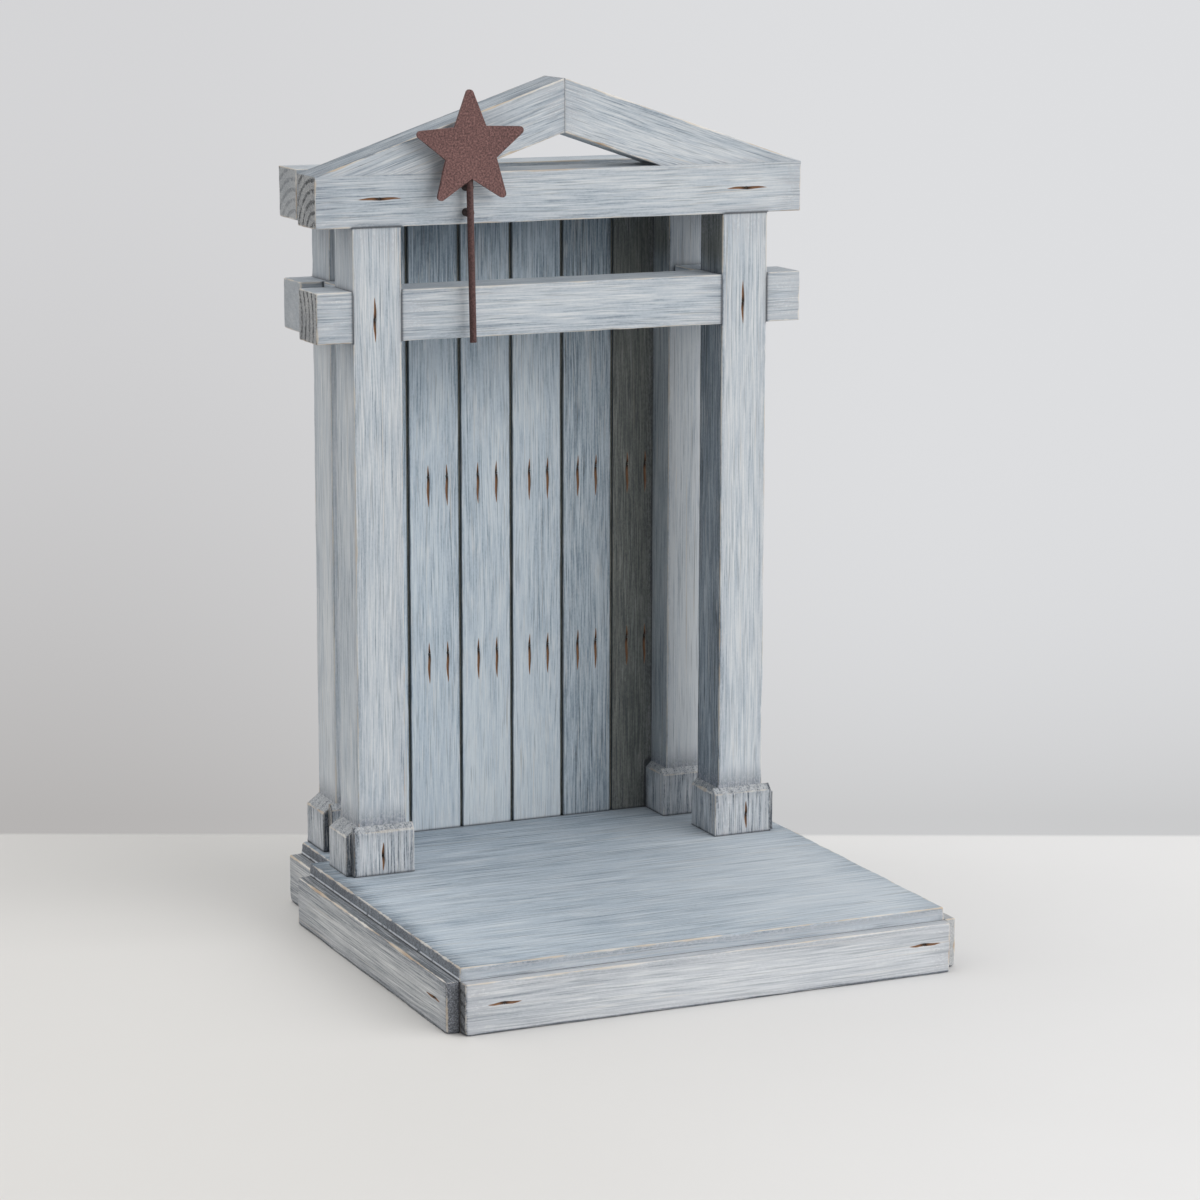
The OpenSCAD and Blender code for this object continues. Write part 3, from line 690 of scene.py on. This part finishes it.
def star_paint(name, main, spot, rim):
    """Matt powder coat with a fine speckle."""
    s = Shader(name)
    place = s.node("ShaderNodeTexCoord").outputs["Object"]
    fine = s.noise(place, scale=1300.0, detail=2, rough=0.7)
    grit = s.node("ShaderNodeTexVoronoi", {"Vector": place, "Scale": 1100.0}).outputs["Distance"]
    broad = s.noise(place, scale=60.0, detail=3)
    level = s.plus(s.times(fine, 0.9), s.times(broad, 0.1))
    level = s.plus(level, 0.05)
    body = s.ramp(level, ((0.38, rim), (0.55, main), (0.72, spot)))
    height = s.plus(fine, s.times(grit, 0.4))
    gloss = s.range(fine, 0.3, 0.7, 0.55, 0.8)
    return s.finish(body, gloss, height, strength=0.35, distance=0.00015, specular=0.3)


def plain_wood(name):
    """Unpainted dowel wood."""
    s = Shader(name)
    place = s.node("ShaderNodeTexCoord").outputs["Object"]
    lines = s.noise(place, (1500.0, 1500.0, 60.0), detail=3)
    broad = s.noise(place, scale=80.0, detail=2)
    level = s.plus(s.times(lines, 0.6), s.times(broad, 0.4))
    body = s.ramp(level, ((0.35, (0.42, 0.28, 0.15)), (0.65, (0.68, 0.52, 0.34))))
    return s.finish(body, 0.7, lines, strength=0.3)


def dark_steel(name):
    """Dull dark steel of the brads."""
    s = Shader(name)
    place = s.node("ShaderNodeTexCoord").outputs["Object"]
    rust = s.noise(place, scale=700.0, detail=4, rough=0.7)
    body = s.ramp(rust, ((0.35, (0.03, 0.028, 0.026)), (0.6, (0.075, 0.06, 0.05)),
                         (0.75, (0.14, 0.075, 0.04))))
    return s.finish(body, s.range(rust, 0.3, 0.7, 0.35, 0.7), rust, strength=0.3, metallic=0.8)


TIMBER = wood("painted_timber", (0.22, 0.265, 0.315), (0.43, 0.485, 0.54), (0.61, 0.64, 0.665),
              wash=0.45, grime=0.7, ends=0.15, contrast=0.75, streak=1.2)
PLINTH = wood("painted_plinths", (0.13, 0.16, 0.19), (0.47, 0.515, 0.56), (0.68, 0.7, 0.72),
              wash=0.7, grime=0.8, ends=0.0, sawn_share=0.25, contrast=1.1)
BOARDS = wood("painted_boards", (0.235, 0.3, 0.36), (0.455, 0.53, 0.6), (0.61, 0.67, 0.71),
              wash=0.45, grime=0.3, contrast=0.72)
DECK = wood("painted_deck", (0.225, 0.28, 0.34), (0.41, 0.48, 0.55), (0.57, 0.625, 0.68),
            wash=0.4, grime=0.9, ends=0.0, sawn_share=0.3, contrast=0.85, bead=0.95, streak=1.7, bands=0.55)
BASE = wood("painted_skirts", (0.18, 0.202, 0.225), (0.41, 0.43, 0.45), (0.64, 0.653, 0.66),
            wash=0.5, grime=0.8, ends=0.2, contrast=0.75, streak=1.8)
FRONT = wood("painted_front_skirt", (0.22, 0.25, 0.285), (0.44, 0.473, 0.513), (0.65, 0.675, 0.705),
             wash=0.6, grime=0.8, ends=0.2, contrast=0.62, streak=1.8)
STAR = star_paint("star_metal", (0.14, 0.071, 0.067), (0.27, 0.145, 0.135), (0.055, 0.026, 0.024))
ROD = star_paint("star_rod_metal", (0.085, 0.045, 0.043), (0.13, 0.07, 0.066), (0.045, 0.022, 0.02))
PEG = star_paint("star_peg_metal", (0.03, 0.018, 0.016), (0.06, 0.035, 0.03), (0.015, 0.01, 0.01))
DOWEL = plain_wood("bare_wood")
STEEL = dark_steel("nail_steel")


# Pieces

def shaded(tone, *faces):
    """A tone that changes on some faces. Each of faces is (axis, place of the face, change of the tone)."""
    def at(points):
        tones = np.tile(np.array(tone, float), (len(points), 1))
        for axis, place, change in faces:
            share = unit(1 - (np.abs(points[:, axis] - place) - 0.3) / 0.7)
            tones += share[:, None] * np.array(change if isinstance(change, tuple) else (change, 0, 0))
        tones[:, 1:] = np.clip(tones[:, 1:], 0, 2)
        return tones
    return at


def unwashed(points, name, low_down, high_up):
    """The share of bare olive wood on the inner side of a right-hand post: below the rail and above it."""
    inner = points[:, 0] < BOXES[name][0][0] + 0.5
    above = unit((points[:, 2] - BOXES["front_rail"][1][2]) / TONE_FADE)
    return inner * (low_down + (high_up - low_down) * above)


def post_joint(points, name):
    """A post's distance from the other pieces. Its plinth counts only for a little grime and painted shade
    above it.
    """
    blocks = [n for n in NODES if "plinth" in n]
    above = points[:, 2] - BOXES[name.replace("post", "plinth_front")][1][2]
    foot = (2.2 if "left" in name else 3.2) + 0.28 * np.maximum(above, 0)
    return np.minimum(np.minimum(1.6 * joint_distance(points, name, blocks), foot), JOINT_REACH)


def straight(name, grain, seed, material=TIMBER, wear=0.55, tone=(0.0, 1.0, 0.3), close=None, heart=None,
             cut=1.0):
    """A piece that is one straight bar. cut is how much its end grain shows."""
    low, high = BOXES[name]
    shape = bar(low, high, grain, seed, wear, marks=gouges(low, high),
                close=close or near_others(name), heart=heart)
    shape[2]["cut"] *= cut
    if name == "front_right_post":
        shape[2]["raw"] += unwashed(shape[0], name, 0.12, 0.75)
    joint = post_joint(shape[0], name) if name.endswith("post") else None
    build(name, shape, material, seed, tone, joint)


def skirt(name, grain, seed, material, tone, *faces, cut=1.0):
    """A skirt with rounded lower corners and a painted contact shadow along its foot, where it stands on the
    floor.

    Each of faces is (axis, side, change of the tone)."""
    low, high = BOXES[name]

    def wear(points):
        past = np.minimum(points[:, grain] - low[grain], high[grain] - points[:, grain])
        return 0.6 + 0.9 * unit(1 - np.hypot(past, points[:, 2] - low[2]) / 3)

    placed = [(axis, (low, high)[side][axis], change) for axis, side, change in faces]
    # painted contact shadow: the skirt's foot is much darker where it stands on the floor
    placed.append((Z, low[2], (-1.8, -2.0, 0.0)))
    straight(name, grain, seed, material, wear, shaded(tone, *placed), cut=cut)


def deck():
    """The deck, in two bars: as wide as the skirts in front of its shoulder and narrower behind it."""
    name = "deck"
    low, high = BOXES[name]
    shoulder = BOXES["left_skirt"][1][1]
    rear = BOXES["rear_right_skirt"][0][0]
    near_skirts = near_others(name, [n for n in NODES if not n.endswith("skirt")])
    foot = BOXES["left_skirt"][1][2] + np.array(RISER_STEPS)
    front = bar(low, (high[0], shoulder, high[2]), X, 11, 0.7, joined=((Y, 1),), pitch=4.0,
                close=near_skirts, also=foot)
    back = bar((-rear, shoulder, low[2]), (rear, high[1], high[2]), X, 11, 0.7, joined=((Y, 0),), pitch=4.0,
               close=near_skirts, also=foot)

    def tone(points):
        """Lighter towards both sides and most towards the right, a painted sheen; darker by the panel,
        painted shade; darker by both edges, and grimy on the risers.
        """
        aside = points[:, 0] / DECK_HALF
        # painted sheen: lighter towards the right
        lift = 0.04 * aside ** 2 + 0.24 * unit(aside)
        lift = lift - 0.06 * unit(points[:, 1] / DECK_FADE) - 0.05
        # painted shade by the panel
        lift = lift - 0.14 * unit(1 - (BOXES["back_board_1"][0][1] - points[:, 1]) / DECK_FADE)
        left_band = unit(1 - (points[:, 0] - low[0]) / LEFT_BAND) * (points[:, 1] < shoulder)
        riser = unit((high[2] - points[:, 2]) / 0.8)
        in_front = unit(1 - (points[:, 1] - low[1] - 0.3) / 0.7)
        behind = points[:, 1] > high[1] - 0.5
        left_riser = riser * (points[:, 0] < 0) * (1 - in_front) * ~behind
        lift = lift - 0.42 * left_band * (1 - riser) - 0.45 * left_riser + 0.3 * in_front * riser
        lift = lift - 0.3 * unit(1 - (high[0] - points[:, 0]) / RIGHT_BAND) * (1 - riser)
        wear = 1 + 0.9 * unit(1 - (high[0] - points[:, 0]) / 2)
        return np.stack([lift, wear, 0.1 + (0.9 - 0.25 * in_front) * riser], 1)

    shape = merged([front, back])
    points = shape[0]
    # no grime by its ends
    shape[2]["end"][:] = FOOT_REACH
    joint = joint_distance(points, name)
    on_top = points[:, 2] > high[2] - 0.4
    in_front = (points[:, 1] < low[1] + 0.5) & ~on_top
    joint = np.where(in_front, np.maximum(joint, 3.5), joint)
    joint = np.where(on_top, np.minimum(joint * 2.2, JOINT_REACH), joint)
    build(name, shape, DECK, 13, tone, joint)


def plinth(name, seed):
    """A block with a bevelled top that falls away from its post."""
    low, high = BOXES[name]
    kind = name.split("_")[-1]
    side = 1 if "right" in name else -1
    fall = OUTER_FALL if kind == "outer" else THIN_FALL
    points, quads, values = bar(low, high, Z, seed, 0.5, pitch=2.0, marks=gouges(low, high), nicks=0.5,
                                close=near_others(name))
    # away is how far each point is from the post's side of the block, as a share of the block's thickness;
    # the faces in the notch are darker, painted shade
    if kind == "front":
        away = (high[1] - points[:, 1]) / (high[1] - low[1])
        face_tone = shaded((0.02, 0.6, 0.6), (X, high[0] if side > 0 else low[0], (-1.4, 0, -0.3)))
    else:
        outward = side if kind == "outer" else -side
        share = (points[:, 0] - low[0]) / (high[0] - low[0])
        away = share if outward > 0 else 1 - share
        notch_shade = (-1.4, -0.5, -0.3) if kind == "outer" else 0.0
        face_tone = shaded((-0.03, 0.9, 0.6), (Y, low[1], notch_shade))
    points[:, 2] = low[2] + (points[:, 2] - low[2]) * (1 - fall * away / (high[2] - low[2]))
    group = name.rsplit("_", 2)[0]
    post_low, post_high = BOXES[group + "_post"]

    def tone(points):
        """Unworn against the post."""
        tones = face_tone(points)
        tones[:, 1] *= unit(box_distance(points, post_low, post_high) / 1.5 - 0.3)
        return tones

    joint = joint_distance(points, name, [n for n in NODES if n.startswith(group)])
    build(name, (points, quads, values), PLINTH, seed, tone, joint)


def rafter(name, side, seed):
    """A rafter: a straight bar, stretched to its mitre at the top and its level cut at the foot."""
    low, high = BOXES[name]
    half, foot, rise, drop, inner_half = gable()
    stock = drop * math.cos(math.radians(ROOF_SLOPE))
    length = math.hypot(half, rise)

    def from_ends(points):
        return np.minimum(points[:, 0], length - points[:, 0])

    points, quads, values = bar((0, low[1], 0), (length, high[1], stock), X, seed, 0.6, close=from_ends)
    along = points[:, 0:1] / length
    up = points[:, 2:3] / stock
    top_line = (1 - along) * np.array([[half, foot]]) + along * np.array([[0, foot + rise]])
    low_line = (1 - along) * np.array([[inner_half, foot]]) + along * np.array([[0, foot + rise - drop]])
    flat = (1 - up) * low_line + up * top_line
    placed = np.stack([flat[:, 0] * side, points[:, 1], flat[:, 1]], 1)
    if side < 0:
        quads = quads[:, ::-1]
    mitre = np.minimum(np.abs(placed[:, 0]) * 1.6 + 0.5, JOINT_REACH)
    # the top face is painted shade on the left rafter and painted light on the right one
    front_lift, top_light_and_shade = (0.14, -0.3) if side < 0 else (0.06, 0.3)
    lift = np.where(points[:, 2] > stock - 0.4, top_light_and_shade, front_lift)

    def tone(points):
        """Unworn at the foot, where it runs on into the beam."""
        wear = unit((points[:, 2] - foot) / 2 - 0.1)
        return np.stack([lift, 1.3 * wear, 0.2 + 0 * wear], 1)

    build(name, (placed, quads, values), TIMBER, seed, tone, mitre)


def rear_post(name, side, seed):
    """A post with a rebate for the panel's edge."""
    low, high = BOXES[name]
    board_low = BOXES["back_board_1"][0]
    panel_y = board_low[1]
    panel_x = -board_low[0]
    marks = gouges(low, high)
    if side > 0:
        main_low, main_high = (panel_x, low[1], low[2]), high
        lip_low, lip_high = low, (panel_x, panel_y, high[2])
        main_join, lip_join = ((X, 0),), ((X, 1),)
    else:
        main_low, main_high = low, (-panel_x, high[1], high[2])
        lip_low, lip_high = (-panel_x, low[1], low[2]), (high[0], panel_y, high[2])
        main_join, lip_join = ((X, 1),), ((X, 0),)
    near = near_others(name)
    main = bar(main_low, main_high, Z, seed, 0.6, joined=main_join, marks=marks, close=near)
    lip = bar(lip_low, lip_high, Z, seed, 0.6, joined=lip_join, close=near)
    # the right post's front is lighter, painted light, and its inner side darker, painted shade
    face_tone = shaded((0.32, 0.8, 0.3), (X, low[0], -0.4)) if side > 0 else shaded((0.18, 0.8, 0.3))

    def tone(points):
        """Painted shade at the top, under the beams."""
        tones = face_tone(points)
        tones[:, 0] -= 0.16 * unit((points[:, 2] - high[2] + BEAM_SHADE_REACH) / TONE_FADE)
        return tones

    shape = merged([main, lip])
    if side > 0:
        shape[2]["raw"] += unwashed(shape[0], name, 0.3, 0.8)
    build(name, shape, TIMBER, seed, tone, post_joint(shape[0], name))


def board(index, seed, lift, raw):
    """A board of the panel, with its tongue. raw is the share of it that the wash has not covered. lift
    lightens or darkens its front; on the two right-hand boards it is painted shade.
    """
    name = f"back_board_{index}"
    low, high = BOXES[name]
    neighbour = BOXES.get(f"back_board_{index + 1}")
    face_high = high[0] if neighbour is None else neighbour[0][0] - BOARD_GAP
    body_high = (face_high, high[1], high[2])
    body = bar(low, body_high, Z, seed, 0.25, marks=gouges(low, body_high), pitch=4.0, nicks=0.6)
    body[2]["raw"] += raw * (body[0][:, 1] < low[1] + 0.5)
    parts = [body]
    if neighbour is not None:
        tongue = bar((face_high - 1, low[1] + TONGUE_FRONT, low[2]),
                     (face_high + (BOARD_GAP + TONGUE), low[1] + TONGUE_BACK, high[2]),
                     Z, seed + 5, 0.2, pitch=12.0)
        tongue[2]["raw"] += 1
        parts.append(tongue)
    shape = merged(parts)
    joint = joint_distance(shape[0], name, [n for n in NODES if n.startswith("back_board")])

    def tone(points):
        """Painted shade under the beam, darker by the gaps, a painted pool of light low down on the first
        four boards, and the same as its neighbours behind.
        """
        up = (points[:, 2] - low[2]) / (high[2] - low[2])
        in_front = points[:, 1] < low[1] + 0.5
        light_and_shade = lift * np.where(in_front, 1, 0.2)
        light_and_shade = light_and_shade + (0.2 if index < 5 else 0.0) * unit(1 - up / 0.35)
        light_and_shade = light_and_shade - 0.2 * unit((up - 0.7) / 0.2)
        gap = np.minimum(points[:, 0] - low[0], face_high - points[:, 0])
        light_and_shade = light_and_shade - 0.7 * unit(1 - (gap - 0.15) / 0.3)
        return np.stack([light_and_shade, 0.15 + 0 * light_and_shade, 0.1 + 0 * light_and_shade], 1)

    build(name, shape, BOARDS, seed, tone, joint)


deck()
# the front and left skirts' ends in the front-left notch are darker and grimier, painted shade with grime;
# the right skirt's front end is lighter, painted light
skirt("front_skirt", X, 21, FRONT, (0.1, 1.0, 0.3), (X, 0, (-0.35, -0.3, 1.0)))
skirt("left_skirt", Y, 22, BASE, (-0.1, 1.3, 0.4), (Y, 0, (-0.5, -0.4, 0.9)), (Z, 1, -0.3), cut=0.25)
skirt("right_skirt", Y, 23, BASE, (0.0, 1.0, 0.4), (Y, 0, (0.25, 0.2, -0.2)), cut=0.25)
skirt("rear_left_skirt", Y, 24, BASE, (-0.05, 1.3, 0.4), (Z, 1, -0.25))
skirt("rear_right_skirt", Y, 25, BASE, (0.0, 1.0, 0.5))
straight("front_left_post", Z, 31, tone=(0.04, 0.8, 0.2))
# the front right post's inner side is darker, painted shade
straight("front_right_post", Z, 32,
         tone=shaded((0.07, 0.8, 0.2), (X, BOXES["front_right_post"][0][0], -0.42)))
rear_post("rear_left_post", -1, 33)
rear_post("rear_right_post", 1, 34)
for count, post in enumerate(("front_left", "front_right", "rear_left", "rear_right")):
    for step, kind in enumerate(("front", "outer", "inner")):
        plinth(f"{post}_plinth_{kind}", 41 + 3 * count + step)
straight("front_beam", X, 61, tone=beam_tone, close=beam_close, heart=(0.05, -0.15))
straight("rear_beam", X, 62, heart=(0.1, -0.5), cut=0.7)
straight("left_beam_spacer", Y, 63, tone=(-0.18, 1.0, 0.3))
straight("right_beam_spacer", Y, 64)
rafter("left_rafter", -1, 65)
rafter("right_rafter", 1, 66)
straight("front_rail", X, 71, tone=(0.03, 0.8, 0.2))
straight("front_left_rail_end", X, 72, heart=(1.9, 0.4))
straight("front_right_rail_end", X, 73, tone=(0.08, 1.0, 0.3))
straight("rear_left_rail_end", X, 74, cut=0.3)
straight("rear_right_rail_end", X, 75)
straight("left_side_rail", Y, 76)
straight("right_side_rail", Y, 77)
# how light each board is, from the left, with painted shade on the two right-hand boards, and its share of
# bare wood
BOARD_LIFT_SHADE_AND_RAW = ((-0.05, 0), (-0.04, 0), (0.03, 0), (0.03, 0), (-0.17, 0.1), (-0.65, 0.75))
for number, (lift, raw) in enumerate(BOARD_LIFT_SHADE_AND_RAW, 1):
    board(number, 80 + number, lift, raw)
straight("lower_batten", X, 91, BASE)
straight("upper_batten", X, 92, BASE)

# The star, the dowels and the nails keep their CAD shape
for name, material in (("star_plate", STAR), ("star_rod", ROD), ("star_pegs", PEG),
                       ("post_foot_dowels", DOWEL), ("post_top_dowels", DOWEL),
                       ("rafter_dowels", DOWEL), ("rail_dowels", DOWEL),
                       ("panel_nails", STEEL), ("frame_nails", STEEL), ("batten_nails", STEEL),
                       ("plinth_nails", STEEL), ("skirt_nails", STEEL)):
    node = NODES[name]
    node.data.materials.clear()
    node.data.materials.append(material)
    if name.startswith("star"):
        weld = node.modifiers.new("weld", "WELD")
        weld.merge_threshold = STAR_WELD
        bevel = node.modifiers.new("bevel", "BEVEL")
        bevel.width = STAR_BEVEL
        bevel.segments = 3
        bevel.limit_method = "ANGLE"
        bevel.angle_limit = math.radians(35)
        bevel.harden_normals = True


# Camera

def camera():
    """Makes the camera and gives its directions ahead, right and up."""
    yaw, pitch, roll = (math.radians(v) for v in (CAMERA_YAW, CAMERA_PITCH, CAMERA_ROLL))
    ahead = Vector((-math.sin(yaw) * math.cos(pitch), math.cos(yaw) * math.cos(pitch), -math.sin(pitch)))
    right = Vector((math.cos(yaw), math.sin(yaw), 0))
    up = right.cross(ahead)
    turned_right = math.cos(roll) * right + math.sin(roll) * up
    turned_up = -math.sin(roll) * right + math.cos(roll) * up
    data = bpy.data.cameras.new("camera")
    data.lens = CAMERA_LENS
    data.sensor_width = SENSOR
    data.clip_end = STAGE_SIZE
    made = bpy.data.objects.new("camera", data)
    bpy.context.scene.collection.objects.link(made)
    turn = Matrix((turned_right, turned_up, -ahead)).transposed().to_4x4()
    made.matrix_world = Matrix.Translation(Vector(CAMERA_PLACE) * MM) @ turn
    bpy.context.scene.camera = made
    return ahead, turned_right, turned_up


AHEAD, RIGHT, UP = camera()


# Floor, backdrop and light

def floor_and_backdrop():
    """One wide plane: a pale floor that ends at a line far behind the object, and beyond it a glowing
    backdrop with painted shade.
    """
    bpy.ops.mesh.primitive_plane_add(size=STAGE_SIZE, location=(0, 0, 0))
    plane = bpy.context.object
    plane.name = "floor"
    s = Shader("floor")
    place = s.node("ShaderNodeNewGeometry").outputs["Position"]
    level = Vector((AHEAD.x, AHEAD.y, 0)).normalized()
    from_camera = s.vector_math("SUBTRACT", place, Vector(CAMERA_PLACE) * MM)

    def along(way):
        return s.vector_math("DOT_PRODUCT", from_camera, way)

    beyond = s.range(along(level), FLOOR_END - END_BLUR, FLOOR_END + END_BLUR)
    # places on the camera's frame at rest, from 0 at its left or top to 1 at its right or bottom
    across = s.math("MULTIPLY_ADD", s.math("DIVIDE", along(RIGHT), along(AHEAD)), CAMERA_LENS / SENSOR, 0.5)
    down = s.math("MULTIPLY_ADD", s.math("DIVIDE", along(UP), along(AHEAD)), -CAMERA_LENS / SENSOR, 0.5)
    # painted shade on the glowing backdrop: pale overhead and darker towards the floor, sooner on the left
    # than on the right
    low_down = s.node("ShaderNodeMapRange", {"Value": down, "From Max": BACKDROP_LOW}).outputs[0]
    left = s.mix(s.math("POWER", low_down, 2.0), *BACKDROP_LEFT)
    right = s.mix(s.math("POWER", low_down, 6.0), *BACKDROP_RIGHT)
    backdrop = s.mix(s.range(across, 0.0, 0.8), left, right)
    mottle = s.noise(place, scale=9.0, detail=4)
    # painted light: the floor is lighter towards the right
    pale = s.mix(s.range(along(RIGHT), -0.11, 0.22), (0.693, 0.688, 0.678, 1), (0.757, 0.76, 0.767, 1))
    floor_colour = s.mix(s.range(mottle, 0.3, 0.7, 0.0, 0.03), pale, (0.5, 0.49, 0.47, 1))
    # painted falloff of light: darker far from the object, where the softbox is close to the floor
    painted_falloff = s.range(s.vector_math("LENGTH", place), FLOOR_NEAR, FLOOR_FAR)
    floor_colour = s.mix(painted_falloff, floor_colour, (0.3, 0.3, 0.3, 1))
    floor_face = s.node("ShaderNodeBsdfPrincipled", {"Base Color": floor_colour, "Roughness": 0.6,
                                                     "Specular IOR Level": 0.3})
    backdrop_glow = s.node("ShaderNodeEmission", {"Color": backdrop})
    plane.data.materials.append(s.show(s.mix_shaders(beyond, floor_face, backdrop_glow)))


def softbox():
    """A wide softbox low at the right."""
    data = bpy.data.lights.new("key", "AREA")
    data.shape = "RECTANGLE"
    data.size, data.size_y = KEY_SIZE
    data.energy = KEY_POWER
    data.color = (1.0, 0.99, 0.98)
    made = bpy.data.objects.new("key", data)
    bpy.context.scene.collection.objects.link(made)
    place, aim = Vector(KEY_PLACE), Vector(KEY_AIM)
    made.matrix_world = Matrix.Translation(place) @ (place - aim).to_track_quat("Z", "Y").to_matrix().to_4x4()


def sky():
    """A sky that is bright behind the object's left and overhead. The camera sees a plain grey instead."""
    world = bpy.data.worlds.new("world")
    world.use_nodes = True
    bpy.context.scene.world = world
    s = Nodes(world.node_tree)
    place = s.node("ShaderNodeTexCoord").outputs["Generated"]

    def lobe(way, power, strength):
        """Brightness around one direction."""
        facing = s.most(s.vector_math("DOT_PRODUCT", place, Vector(way).normalized()), 0.0)
        return s.times(s.math("POWER", facing, power), strength)

    total = s.plus(lobe((-0.66, 0.6, 0.45), 2.0, 1.35), lobe((0.0, 0.0, 1.0), 4.0, 1.0))
    back = s.tree.nodes["Background"]
    back.inputs["Color"].default_value = (1.0, 0.985, 0.965, 1)
    s.put(back.inputs["Strength"], s.plus(total, 0.07))
    pale = s.node("ShaderNodeBackground", {"Color": (0.72, 0.725, 0.735, 1)})
    seen = s.node("ShaderNodeLightPath").outputs
    direct = s.most(s.most(seen["Is Camera Ray"], seen["Is Glossy Ray"]), seen["Is Transmission Ray"])
    mixed = s.mix_shaders(direct, back, pale)
    s.put(s.tree.nodes["World Output"].inputs["Surface"], mixed.outputs[0])


floor_and_backdrop()
softbox()
sky()
bpy.context.scene.view_settings.view_transform = "Standard"
